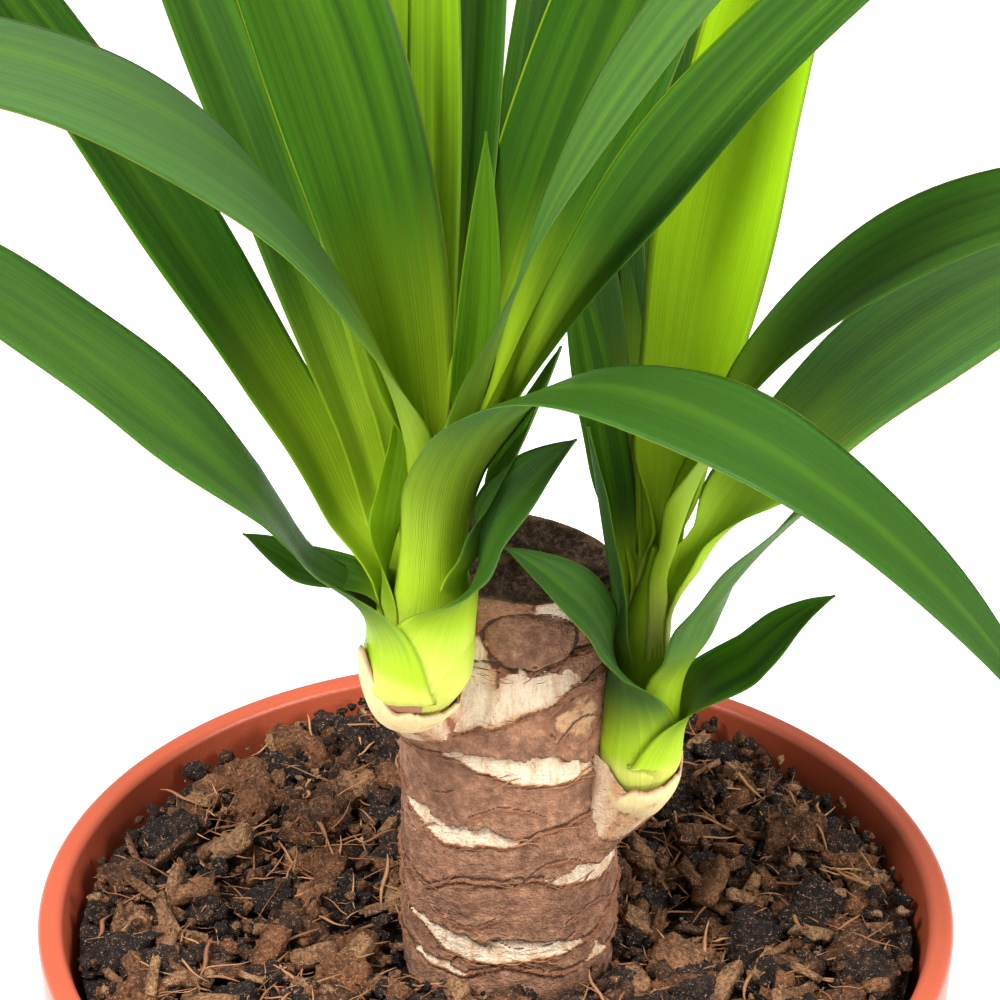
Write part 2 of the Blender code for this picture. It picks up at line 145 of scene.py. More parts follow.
# The larger lumps: x, y and size in millimetres, and a shade from 0, black peat, to 1, pale wood.
BIG_LUMPS = (
    (-28, 55, 7, 0.95),
    (-35, 12, 13, 0.62),
    (-61, 13, 9, 0.05),
    (-60, 35, 11, 0.5),
    (-54, -8, 12, 0.12),
    (47, 49, 10, 0.85),
    (35, 40, 12, 0.0),
    (55, 33, 14, 0.06),
    (70, 13, 9, 0.8),
    (39, 5, 11, 0.05),
    (55, 5, 8, 0.5),
    (34, -12, 9, 0.55),
    (64, -3, 11, 0.45),
    (-30, -22, 10, 0.3),
    (-8, 34, 9, 0.1),
    (-58, -36, 12, 0.2),
    (8, -62, 11, 0.5),
    (46, -44, 12, 0.1),
)

# Cane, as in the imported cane.
CANE_X = 0.0025
CANE_RADIUS = 0.0205
CANE_FOOT = 0.062
CANE_TOP = 0.2145
CANE_TOP_SLANT = (-0.14, -0.12)
CANE_SIDES = 300
CANE_RISE = 0.0004
CANE_FINE_FROM = 0.122
CUT_RINGS = 26
SLANT_FROM = 0.19
SAWN_GRAIN = (420, 0.0012)
BUD_SWELLS = (4.6, 4.8)
BUD_WIDTH = 6.5
BUD_HEIGHT = 5.0
FRAY_COUNT = 420
FRAY_SEED = 31
FRAY_MOULDS = range(40, 50)
FRAY_BEND = 0.12
FRAY_SIZES = (0.002, 0.0065)
FRAY_SLIMNESS = (0.5, 0.9)
FRAY_SINK = 0.0003

# Leaf scars: azimuth in degrees and height in millimetres of points on each line round the
# cane, then where the bark above the line has peeled: azimuths, and width in millimetres.
Scar = namedtuple("Scar", "line peel")
SCARS = (
    Scar(((-170, 137), (-120, 136), (-92, 139), (-60, 136), (-30, 136), (30, 139), (90, 136), (150, 138)),
         ((-150, -112, 2.2), (-45, -28, 2.6))),
    Scar(((-168, 147), (-146, 144), (-122, 140.5), (-96, 140), (-72, 140.5), (-45, 141), (-12, 146),
          (40, 149), (100, 146), (150, 148)),
         ((-155, -48, 4.6), (70, 140, 3.0))),
    Scar(((-168, 154), (-140, 152.5), (-112, 157), (-80, 158), (-55, 155), (-30, 153), (0, 157),
          (60, 160), (120, 155)),
         ((-72, 4, 4.6),)),
    Scar(((-170, 171), (-150, 167), (-125, 164), (-95, 165.5), (-65, 168), (-40, 169.5), (-12, 169),
          (50, 172), (110, 167)),
         ((-158, -84, 4.6), (60, 110, 2.6))),
    Scar(((-170, 181), (-140, 184), (-122, 183.5), (-104, 181), (-80, 178.5), (-55, 177.5),
          (-25, 179), (30, 183), (90, 178), (140, 181)),
         ((-124, -36, 5.2), (100, 160, 3.0))),
    Scar(((-150, 188), (-124, 188.8), (-100, 190.5), (-75, 194), (-52, 197.5), (-20, 199),
          (40, 195), (110, 192), (170, 189)),
         ((-132, -50, 9.0), (30, 80, 3.2))),
    Scar(((-165, 203), (-100, 202), (-78, 201), (-50, 204), (-15, 206), (50, 204), (110, 206)),
         ((-20, 30, 2.0),)),
)
OVAL_SCAR = (-78, 207.0, 25, 5.2)
OVAL_END = 1.25
SCAR_RIPPLE = 0.75
GROOVE_DROP = 0.7
CRACK_RISE = 0.75
SCAR_STEP = 0.42
SCAR_FALL = 3.5
BARK_THINNER = 0.75
BARK_WAVES = ((2.2, 0.25), (9, 0.14), (24, 0.10))
RIPPLE_WAVES = ((6, 0.9), (19, 0.45))

# Cracks round flakes of bark: azimuths of both ends in degrees, foot and rise in millimetres.
FLAKES = (
    (-88, -40, 156.5, 5.0),
    (-150, -118, 176.5, -2.4),
    (-112, -70, 171.0, 3.0),
    (-66, -30, 186.0, 4.0),
    (-140, -96, 150.0, -2.6),
    (-60, -22, 146.5, 2.6),
    (-100, -52, 144.5, -2.0),
    (-30, 10, 162.0, 2.4),
    (40, 90, 162.0, 4.0),
    (100, 150, 178.0, 3.5),
    (-178, -140, 161.0, 3.0),
    (20, 70, 182.0, -3.0),
    (120, 170, 150.0, 3.0),
)

# Bare wood elsewhere: azimuth and height of its middle, its half width in degrees and half
# height in millimetres, and how bare it is.
BARE = (
    (-113, 198.5, 17, 9.0, 1.0),
    (-50, 190.0, 17, 5.0, 0.52),
    (-64, 212.6, 17, 2.4, 1.0),
    (20, 188.0, 22, 5.0, 0.55),
    (150, 196.0, 18, 5.0, 0.6),
)

# Husks: what is left of the bud scales between the cane and each shoot's foot.
HUSK_THICK = {"left": (0.6, 0.4, -0.4), "right": (1.4, 0.8, -0.4)}
HUSK_OVERLAP = 0.2
HUSK_SIDES = 96
HUSK_LEVELS = 40
HUSK_FLARE = 2.2
HUSK_TORN = 0.9
HUSK_RUST = 0.75
HUSK_LIPS = {"left": (20, 3.0), "right": (205, 12.0)}

# Leaves: how a blade is drawn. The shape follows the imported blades.
BLADE_TIP = 0.0004
BASE_WIDTH = 0.54
BASE_FOLD = 48
BASE_SHARE = 0.25
WIDEST = 0.48
TIP_TAPER = 1.9
ROOT_OUT = 0.003
BLADE_SIDES = 28
BLADE_LEVELS = 72
LEVEL_POWER = 1.12
PATH_STEP = 0.002
STEM_SIDES = 40
SCALE_SIDES = 48
SCALE_LEVELS = 24
SCALE_ROUND = 2.5
SCALE_NARROWS = 0.32
SCALE_OUT = 1.2
SCALE_SLOPE = 0.55
SCALE_THICKNESS = 0.0007
LAYER_OUT = 2.4
LAYER_STEP = 0.14
LEAVE_STEM = (0.025, 0.013)
LOW_LEAF = 13
LOW_GREENING = 3.0
LOW_PALE = 0.007
ROLL_FROM = 0.006
ROLL_HASTE = 2.4
REJOIN = 0.080
OPENING = 0.024
LOOSEN = 0.045
LOOSE_EARLY = 0.002
UNCURL = 0.040
UNCURLED = 0.97
TROUGH_ROUND = 0.02
EDGE_WAVE = 0.035
EDGE_WAVES = 23
WAVE_SHIFT = 2.1
BASE_THICKNESS = 0.0010
BLADE_THICKNESS = 0.00055
CORE_THINNER = 1.3
BULGE_HEIGHT = 11
BULGE_REACH = 16
FOOT_TAPER = 2.8
FOOT_REACH = 9

# One row for each leaf, much as in the imported shoots, and then how it looks: its tone from 0,
# deep green, to 1, lime, set from how bright each leaf looks and so partly painted light and
# shade: lime stands partly for light shining through young leaves, deep green partly for leaves
# in shade; how grey it is, which is partly a painted sheen; how far its base runs down the stem,
# in millimetres; the half angle that its base wraps round the stem; and how far the blade rolls
# about its midrib, both in degrees.
Leaf = namedtuple("Leaf", "height azimuth lean arch swing length width fold tone grey clasp wrap roll")
Shoot = namedtuple("Shoot", "name route radii leaves scales sheath bulge")
Scale = namedtuple("Scale", "foot top azimuth wrap out dry")

LEFT_LEAVES = (
    Leaf(34, 125, 4, 30, 85, 195, 25, 18, 0.32, 0.0, 8, 80, -65),
    Leaf(42, 90, 13, 2, 0, 150, 10, 25, 0.7, 0.0, 8, 60, 0),
    Leaf(40, 90, 20, 18, 36, 165, 14, 20, 0.75, 0.0, 8, 60, -20),
    Leaf(42, 72, 15, 8, 20, 165, 13, 25, 0.15, 0.0, 8, 60, 0),
    Leaf(36, 60, 32, -8, 20, 175, 14, 20, 0.1, 0.1, 8, 60, 0),
    Leaf(42, 10, 9, -9, 0, 72, 8, 25, 0.6, 0.0, 8, 60, 75),
    Leaf(36, 45, 20, 8, -48, 195, 26, 22, 0.05, 0.0, 8, 70, 50),
    Leaf(34, 318, 9, 50, 0, 225, 19, 8, 0.3, 0.4, 8, 85, 45),
    Leaf(36, 358, 18, 38, -15, 190, 18, 20, 0.15, 0.1, 10, 70, 40),
    Leaf(36, 212, 0, 107, -5, 222, 22, -18, 0.1, 0.6, 8, 80, -32),
    Leaf(18, 143, 36, 6, 25, 205, 23, 12, 0.15, 0.0, 12, 80, 0),
    Leaf(22, 122, 38, -3, 12, 190, 16, 20, 0.2, 0.1, 10, 70, 0),
    Leaf(19, 192, 8, -14, 0, 46, 9, 25, 0.85, 0.0, 4, 50, -60),
    Leaf(13, 195, 33, 21, 15, 165, 20, 10, 0.35, 0.35, 7, 98, -36),
    Leaf(19, 172, 54, 14, 0, 32, 8, 20, 0.3, 0.1, 6, 50, -30),
    Leaf(21, 290, 2, 146, 42, 194, 24, 2, 0.0, 0.12, 12, 100, 0),
    Leaf(16, 306, 26, 14, 12, 66, 17, 18, 0.15, 0.1, 11, 118, 60),
    Leaf(26, 320, 28, -10, 20, 60, 13, 20, 0.15, 0.0, 16, 40, 30),
    Leaf(30, 98, 48, 30, 5, 185, 22, 20, 0.2, 0.1, 8, 70, 0),
    Leaf(28, 80, 58, 50, -5, 165, 20, 10, 0.2, 0.1, 8, 70, 0),
    Leaf(30, 110, 30, 40, -10, 190, 20, 20, 0.2, 0.0, 8, 70, 0),
)
RIGHT_LEAVES = (
    Leaf(38, 60, 12, 5, -60, 185, 27, 12, 1.0, 0.0, 8, 80, 15),
    Leaf(38, 347, 4, 96, -17, 176, 21, 22, 0.35, 0.2, 8, 80, 25),
    Leaf(32, 40, 36, 80, -15, 165, 26, -8, 0.3, 0.55, 14, 80, 10),
    Leaf(36, 120, 14, 14, 5, 150, 11, 20, 0.15, 0.2, 8, 60, 0),
    Leaf(32, 150, 8, 14, -35, 76, 11, 20, 0.25, 0.0, 8, 60, 0),
    Leaf(38, 100, 20, 6, 15, 145, 10, 20, 0.1, 0.1, 8, 60, 0),
    Leaf(40, 100, 18, 22, -55, 165, 12, 20, 0.2, 0.0, 8, 60, 0),
    Leaf(15, 312, 20, 24, 5, 80, 18, 12, 0.3, 0.1, 16, 80, 10),
    Leaf(9, 0, 30, 26, -5, 46, 12, 12, 0.25, 0.0, 8, 118, 25),
    Leaf(13, 250, 10, 42, -50, 61, 13, 16, 0.1, 0.1, 11, 112, -60),
    Leaf(20, 215, 8, 2, 0, 60, 11, 24, 0.2, 0.0, 16, 60, -30),
    Leaf(26, 80, 45, 40, 0, 165, 20, 14, 0.2, 0.1, 8, 70, 0),
    Leaf(22, 88, 64, 35, 0, 135, 17, 10, 0.2, 0.1, 8, 70, 0),
    Leaf(28, 72, 30, 25, 0, 175, 18, 20, 0.2, 0.0, 8, 70, 0),
)

# Shoots: the stem's route and its radii in millimetres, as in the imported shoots, its leaves and
# the bladeless scales round its foot. A scale has the heights of its foot and top, its azimuth
# and half angle, how far out it lies, and how dry it is. The sheath has its flap's azimuth, rise
# and flare, and its own height. The last number is how far the leaf bases swell the stem.
LEFT_SHOOT = Shoot(
    "left",
    ((-7, -8, 184), (-12, -13, 188), (-15, -17, 194), (-12, -21, 216), (-10, -24, 236), (-8, -24, 250)),
    (4.5, 6.2, 7.4, 7.0, 5.6, 2.6),
    LEFT_LEAVES,
    (
        Scale(0.8, 17, 346, 76, 1.0, 0),
        Scale(0.8, 10.8, 255, 34, 1.1, 0.9),
        Scale(0.8, 12, 130, 90, 0.6, 0),
    ),
    (198, 12, 2.4, 3.6),
    1.7,
)
RIGHT_SHOOT = Shoot(
    "right",
    ((14, -5, 158), (20, -8, 164), (25, -9, 170), (26, -8, 192), (27, -7, 208), (28, -6, 220)),
    (4.5, 5.8, 6.8, 6.4, 5.0, 2.4),
    RIGHT_LEAVES,
    (Scale(0.5, 11, 190, 92, 0.2, 0), Scale(0.5, 9, 60, 90, 0.4, 0)),
    (30, 2.5, 0.4, 5.6),
    0.5,
)

# Sheaths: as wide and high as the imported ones, and drawn in to a cup at the foot.
SHEATH_CLEAR = 0.0015
SHEATH_LOW = -0.0022
SHEATH_CUP = 0.0032
SHEATH_LEAN = 0.0008
SHEATH_TEARS = ((0.0003, 7, 0), (0.0003, 11, 1))
SHEATH_RAGGED = 0.0004
SHEATH_WALL = 0.00045
SHEATH_BROWNING = 2.5
SHEATH_SIDES = 120
SHEATH_LEVELS = 40
FLAP_SHARPNESS = 7

# Camera: the photograph's view of the pot, with its long lens.
LENS_MM = 154.9
LOOK_DOWN = math.radians(29.89)
VIEW_DISTANCE = 0.7577
VIEW_CENTRE = Vector((0.0008, 0, 0.2259))
CLIP_START = 0.01

# Stage: a pale floor, a sky and two lamps.
FLOOR_SIZE = 6
FLOOR_COLOUR = (0.93, 0.93, 0.94)
FLOOR_ROUGHNESS = 0.9
FLOOR_GLOW = 0.57
SKY_COLOUR = (0.97, 0.985, 1.0, 1)
KEY_PLACE = (-0.60, -0.45, 1.25)
KEY_SIZE = 0.55
FILL_PLACE = (0.9, -0.5, 0.8)
FILL_SIZE = 0.8


def smooth(value):
    """Eases a value from 0 to 1."""
    value = min(max(value, 0.0), 1.0)
    return value * value * (3 - 2 * value)


def bell(value, width):
    """A smooth bump that is 1 at 0 and dies away past the width."""
    return math.exp(-((value / width) ** 2))


def lerp(low, high, share):
    """The value, or the point, at a share of the way from low to high."""
    return low + (high - low) * share


class Value:
    """A node's output. Sums written with it add their Math nodes to the material."""

    def __init__(self, sheet, socket):
        self.sheet = sheet
        self.socket = socket

    def _maths(self, operation, first, second):
        return self.sheet.node("Math", {"operation": operation}, {0: first, 1: second})

    def __add__(self, other):
        return self._maths("ADD", self, other)

    def __sub__(self, other):
        return self._maths("SUBTRACT", self, other)

    def __rsub__(self, other):
        return self._maths("SUBTRACT", other, self)

    def __mul__(self, other):
        return self._maths("MULTIPLY", self, other)

    def __truediv__(self, other):
        return self._maths("DIVIDE", self, other)

    __radd__ = __add__
    __rmul__ = __mul__

    def over(self, other):
        """The larger of the two values."""
        return self._maths("MAXIMUM", self, other)

    def size(self):
        """The value without its sign."""
        return self._maths("ABSOLUTE", self, 0)


def opaque(colour):
    """A node's colour as it is, and any other with full alpha."""
    return colour if isinstance(colour, Value) else (*colour, 1)


class Sheet:
    """A new material and the nodes that it is built from."""

    def __init__(self, name):
        self.material = bpy.data.materials.new(name)
        self.material.use_nodes = True
        self.tree = self.material.node_tree
        self.tree.nodes.clear()

    def node(self, kind, settings=None, inputs=None, output=0):
        """Adds a node: its settings first, then the values or links of its sockets."""
        made = self.tree.nodes.new(f"ShaderNode{kind}")
        for key, value in (settings or {}).items():
            setattr(made, key, value)
        for key, value in (inputs or {}).items():
            if isinstance(value, Value):
                self.tree.links.new(value.socket, made.inputs[key])
            else:
                made.inputs[key].default_value = value
        return Value(self, made.outputs[output]) if made.outputs else None

    def place(self, stretch=(1, 1, 1)):
        """The point on the object, stretched along its axes."""
        point = self.node("TexCoord", output="Object")
        return self.node("Mapping", inputs={"Vector": point, "Scale": stretch})

    def mark(self, name, output="Fac"):
        """An attribute that the mesh carries."""
        return self.node("Attribute", {"attribute_name": name}, output=output)

    def marks(self, name):
        """The three values of a vector attribute."""
        vector = self.mark(name, "Vector")
        return [self.node("SeparateXYZ", inputs={0: vector}, output=part) for part in range(3)]

    def join(self, x, y, z):
        """A vector of three values."""
        return self.node("CombineXYZ", inputs={0: x, 1: y, 2: z})

    def noise(self, where, scale, detail=3, roughness=0.55):
        """Soft random values from 0 to 1."""
        inputs = {"Vector": where, "Scale": scale, "Detail": detail, "Roughness": roughness}
        return self.node("TexNoise", inputs=inputs)

    def fade(self, value, low, high):
        """0 below low, 1 above high, and smooth between them."""
        kind = {"interpolation_type": "SMOOTHSTEP"}
        return self.node("MapRange", kind, {0: value, 1: low, 2: high})

    def mix(self, factor, low, high):
        """A colour between two colours."""
        inputs = {0: factor, 6: opaque(low), 7: opaque(high)}
        return self.node("Mix", {"data_type": "RGBA"}, inputs, 2)

    def tinted(self, colour, factor):
        """A colour made lighter or darker by a factor."""
        grey = self.node("CombineColor", inputs={0: factor, 1: factor, 2: factor})
        kind = {"data_type": "RGBA", "blend_type": "MULTIPLY"}
        return self.node("Mix", kind, {0: 1.0, 6: colour, 7: grey}, 2)

    def finish(self, colour, roughness, relief=None, depth=0.0002, **constants):
        """Ends the material in a Principled shader, with a bump of that depth in metres."""
        inputs = {"Base Color": opaque(colour), "Roughness": roughness}
        for name, value in constants.items():
            inputs[name.replace("_", " ").title().replace("Ior", "IOR")] = value
        if relief is not None:
            inputs["Normal"] = self.node("Bump", inputs={"Height": relief, "Distance": depth})
        shader = self.node("BsdfPrincipled", inputs=inputs)
        self.node("OutputMaterial", inputs={"Surface": shader})
        return self.material


def plastic(settings):
    """Terracotta nursery plastic: satin and faintly mottled."""
    sheet = Sheet("terracotta_plastic")
    where = sheet.place()
    broad = sheet.noise(where, 38, 3)
    fine = sheet.noise(where, 1400, 2)
    low, high = ([min(part * change, 1) for part in settings.colour] for change in (0.9, 1.1))
    colour = sheet.mix(broad, low, high)
    colour = sheet.tinted(colour, 0.94 + 0.12 * fine)
    rough = settings.roughness + 0.10 * (broad - 0.5)
    return sheet.finish(colour, rough, fine * 0.6 + broad, 0.00012)


def peat(settings):
    """Soil: from black peat to brown bark and pale wood by the lump's own tint."""
    sheet = Sheet("potting_mix")
    where = sheet.place()
    tint = sheet.mark("tint")
    broad = sheet.noise(where, 210, 4, 0.65)
    fine = sheet.noise(where, 1300, 4, 0.7)
    grain = sheet.noise(where, 3600, 2)
    colour = sheet.mix(sheet.fade(tint + 0.5 * (broad - 0.5), 0.0, 0.55), settings.dark, settings.brown)
    colour = sheet.mix(sheet.fade(tint + 0.35 * (broad - 0.5), 0.45, 0.95), colour, settings.pale)
    colour = sheet.mix(sheet.fade(fine, 0.55, 0.72) * 0.55, colour, settings.rust)
    specks = sheet.fade(grain * 0.6 + fine * 0.4, 0.575, 0.64)
    colour = sheet.mix(specks * 0.8, colour, settings.fleck)
    crust = sheet.fade(0.35 * broad + 0.65 * fine, 0.38, 0.62)
    colour = sheet.tinted(colour, 0.30 + 1.15 * crust + 0.2 * grain)
    return sheet.finish(colour, 0.95, fine + 0.6 * grain, 0.0030, specular_ior_level=0.3)


def coir(settings):
    """Loose coir and bark fibres: rust to straw by their own tint."""
    sheet = Sheet("coir_fibre")
    tint = sheet.mark("tint")
    fine = sheet.noise(sheet.place(), 900, 3)
    colour = sheet.mix(tint, settings.rust, settings.straw)
    colour = sheet.tinted(colour, 0.5 + 0.9 * fine)
    return sheet.finish(colour, 0.9, fine, 0.0003)


def bark(settings):
    """Cane bark: grey-brown skin, rusty scar edges, cream peeled wood, painted shade in its cracks and
    grooves, and the sawn top.
    """
    sheet = Sheet("cane_bark")
    # The dark mark is painted shade: near black in cracks, grooves and along the edges of lifted bark.
    cream, rust, dark = sheet.marks("bark")
    cut = sheet.mark("cut")
    where = sheet.place()
    upright = sheet.place((1, 1, 0.22))
    flat = sheet.place((0.35, 0.35, 1))
    broad = sheet.noise(where, 130, 4, 0.6)
    mottle = sheet.noise(where, 520, 5, 0.68)
    grain = sheet.noise(where, 2200, 3, 0.6)
    strands = sheet.noise(upright, 1500, 3, 0.6)
    streaks = sheet.noise(upright, 380, 4, 0.65)
    wrinkle = sheet.noise(flat, 900, 4, 0.6)
    skin = sheet.mix(sheet.fade(0.6 * broad + 0.4 * mottle, 0.32, 0.68), settings.skin, settings.worn)
    skin = sheet.mix(sheet.fade(mottle, 0.50, 0.80) * 0.4, skin, settings.light)
    skin = sheet.tinted(skin, 0.40 + 0.62 * mottle + 0.66 * grain)
    edge = sheet.fade(rust + 0.7 * (wrinkle - 0.5), 0.36, 0.62)
    skin = sheet.mix(edge, skin, settings.rust)
    bare = sheet.mix(sheet.fade(strands, 0.48, 0.75) * 0.6, settings.cream, settings.tan)
    bare = sheet.mix(sheet.fade(streaks, 0.44, 0.70) * 0.75, bare, settings.tan)
    bare = sheet.mix((1 - sheet.fade(cream, 0.50, 0.86)) * 0.8, bare, settings.tan)
    bare = sheet.mix(sheet.fade(grain, 0.66, 0.74) * 0.8, bare, settings.dark)
    peeled = sheet.fade(cream + 0.55 * (mottle - 0.5), 0.42, 0.56)
    colour = sheet.mix(peeled, skin, bare)
    # Painted shade in the cracks and grooves.
    crack = sheet.fade(dark + 0.5 * (wrinkle - 0.5), 0.42, 0.7)
    colour = sheet.mix(crack * 0.85, colour, settings.dark)
    sawn = sheet.mix(sheet.fade(mottle, 0.4, 0.7), settings.dark, settings.sawn)
    sawn = sheet.mix(sheet.fade(strands, 0.55, 0.75) * 0.6, sawn, settings.light)
    colour = sheet.mix(cut, colour, sawn)
    relief = mottle + 0.7 * grain + 0.5 * wrinkle
    return sheet.finish(colour, 0.82, relief, 0.0012, specular_ior_level=0.3)


def leaf_skin(settings):
    """A leaf: pale at its base, ribbed along its length, with a light midrib and thin margins; its lime,
    grey green, young base and midrib band are partly painted light.
    """
    sheet = Sheet("leaf")
    across, along, share = sheet.marks("blade")
    tone, grey, under = sheet.marks("looks")
    ribs = sheet.noise(sheet.join(across * 34, along * 9, tone * 7), 1.0, 3, 0.6)
    veins = sheet.noise(sheet.join(across * 95, along * 14, tone * 5), 1.0, 2)
    stripes = sheet.noise(sheet.join(across * 5, along * 6, tone * 13), 1.0, 2)
    cloud = sheet.noise(sheet.place(), 45, 3)
    colour = sheet.mix(sheet.fade(tone + 1.1 * (stripes - 0.5), 0.0, 0.5), settings.deep, settings.green)
    # Lime: partly the young leaves' own colour, partly painted light shining through them.
    colour = sheet.mix(sheet.fade(tone + 0.2 * (stripes - 0.5), 0.5, 1.0), colour, settings.lime)
    # Grey green: partly the leaves' own duller colour, partly a painted sheen.
    colour = sheet.mix(grey * 0.75, colour, settings.grey)
    # The young base: partly its own yellow-green, partly painted light shining through it.
    up = (along / settings.pale_reach).over(share * 2.4)
    young = 1 - sheet.fade(up + 0.25 * (stripes - 0.5), 0.08, 0.88)
    colour = sheet.mix(young, colour, settings.young)
    base = 1 - sheet.fade(along + 0.006 * (stripes - 0.5), -0.006, 0.010)
    colour = sheet.mix(base, colour, settings.base)
    # The light band along the middle: partly the midrib's own paleness, partly a painted highlight along the
    # fold.
    middle = 1 - sheet.fade(across.size() + 0.06 * (stripes - 0.5), 0.02, 0.22)
    colour = sheet.mix(middle * 0.10, colour, settings.midrib)
    margin = sheet.fade(across.size(), 0.965, 0.99)
    colour = sheet.mix(margin * 0.5, colour, settings.young)
    colour = sheet.mix(under * 0.25 * (1 - young), colour, settings.grey)
    colour = sheet.tinted(colour, 0.56 + 0.44 * ribs + 0.30 * veins + 0.14 * cloud)
    rough = settings.gloss + 0.12 * (ribs - 0.5) + 0.08 * under
    glow = {"subsurface_weight": 0.12, "subsurface_radius": (0.35, 1.0, 0.12), "subsurface_scale": 0.0016}
    return sheet.finish(colour, rough, ribs + 0.4 * veins, 0.00014, specular_ior_level=0.10, **glow)


def paper(settings):
    """A dry sheath: cream and straw, fibrous, brown along its torn edge."""
    sheet = Sheet("dry_sheath")
    edge, dry, _ = sheet.marks("paper")
    strands = sheet.noise(sheet.place((1, 1, 0.18)), 1700, 3, 0.6)
    cloud = sheet.noise(sheet.place(), 260, 3)
    colour = sheet.mix(strands, settings.cream, settings.straw)
    colour = sheet.mix(sheet.fade(cloud, 0.55, 0.75) * 0.5, colour, settings.brown)
    colour = sheet.mix(sheet.fade(edge + 0.25 * (cloud - 0.5), 0.72, 0.98) * 0.8, colour, settings.brown)
    colour = sheet.mix(dry, colour, settings.brown)
    return sheet.finish(colour, 0.7, strands, 0.0003, subsurface_weight=0.15, subsurface_scale=0.001)


def stage_floor():
    """The pale floor."""
    glow = {"emission_color": (1, 1, 1, 1), "emission_strength": FLOOR_GLOW}
    return Sheet("pale_floor").finish(FLOOR_COLOUR, FLOOR_ROUGHNESS, **glow)


def mesh_from(bm, name):
    """Turns a bmesh into a mesh and frees it."""
    mesh = bpy.data.meshes.new(name)
    bm.to_mesh(mesh)
    bm.free()
    return mesh


def add_object(name, data):
    """Puts a mesh, lamp or camera into the scene."""
    made = bpy.data.objects.new(name, data)
    bpy.context.scene.collection.objects.link(made)
    return made


def piece(name, bm, material, replaces=()):
    """Turns a closed bmesh into a finished piece that rides on the plant's one body."""
    bmesh.ops.recalc_face_normals(bm, faces=bm.faces[:])
    mesh = mesh_from(bm, name)
    if not mesh.polygons:
        raise RuntimeError(f"{name} has no faces")
    mesh.materials.append(material)
    mesh.shade_smooth()
    made = add_object(name, mesh)
    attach(made, "root")
    if replaces:
        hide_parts(*replaces)
    return made


def arc(centre, radius, start, end, steps):
    """Points on an arc of the pot's section, between two angles in degrees."""
    for step in range(steps + 1):
        angle = math.radians(start + (end - start) * step / steps)
        yield (centre[0] + radius * math.cos(angle), centre[1] + radius * math.sin(angle))


def straight(start, end, steps):
    """Points of the pot's section between two points, without the two themselves."""
    for step in range(1, steps):
        yield tuple(lerp(low, high, step / steps) for low, high in zip(start, end))


def turned(outline, sides):
    """A closed body turned round Z from (radius, height) points. Both ends lie on the axis."""
    bm = bmesh.new()
    points = [bm.verts.new((radius, 0, height)) for radius, height in outline]
    edges = [bm.edges.new(pair) for pair in zip(points, points[1:])]
    bmesh.ops.spin(
        bm, geom=points + edges, axis=(0, 0, 1), cent=(0, 0, 0), angle=math.tau, steps=sides, use_merge=True
    )
    bmesh.ops.remove_doubles(bm, verts=bm.verts[:], dist=1e-5)
    return bm


def wrap(bm, sides, levels, place, marks=()):
    """Adds a closed tube to bm. place(turn, level) gives a point and the values of its marks,
    with turn from 0 to 1 round the tube and level from 0 to 1 along it."""
    store = bm.verts.layers.float_vector
    layers = [store.get(name) or store.new(name) for name in marks]
    grid = bmesh.ops.create_grid(bm, x_segments=sides, y_segments=levels, size=1)
    for vertex in grid["verts"]:
        turn = round((vertex.co.x + 1) / 2 * sides) % sides / sides
        level = round((vertex.co.y + 1) / 2 * levels) / levels
        vertex.co, *values = place(turn, level)
        for layer, value in zip(layers, values):
            vertex[layer] = value
    edges = {edge for vertex in grid["verts"] for edge in vertex.link_edges}
    bmesh.ops.remove_doubles(bm, verts=grid["verts"], dist=1e-7)
    bmesh.ops.holes_fill(bm, edges=[edge for edge in edges if edge.is_valid and edge.is_boundary])


def compass(angle):
    """The level way at an angle in radians from +X."""
    return Vector((math.cos(angle), math.sin(angle), 0))


def cut_drains(pot):
    """Drills the drain holes through the pot's floor."""
    bm = bmesh.new()
    for index in range(DRAIN_COUNT):
        bmesh.ops.create_cone(
            bm,
            cap_ends=True,
            segments=DRAIN_SIDES,
            radius1=DRAIN_RADIUS,
            radius2=DRAIN_RADIUS,
            depth=FLOOR * 4,
            matrix=Matrix.Translation(compass(math.tau * index / DRAIN_COUNT) * DRAIN_CIRCLE),
        )
    drill = add_object("drain_drill", mesh_from(bm, "drain_drill"))
    cut = pot.modifiers.new("Drains", "BOOLEAN")
    cut.operation = "DIFFERENCE"
    cut.object = drill
    graph = bpy.context.evaluated_depsgraph_get()
    result = bpy.data.meshes.new_from_object(pot.evaluated_get(graph))
    pot.modifiers.clear()
    pot.data = result
    bpy.data.objects.remove(drill)


def inner_radius(height):
    """The radius of the pot's inside at a height."""
    share = (height - FLOOR) / (POT_HEIGHT - FLOOR)
    return lerp(FOOT_RADIUS - WALL, RIM_RADIUS - RIM_WIDTH, share)


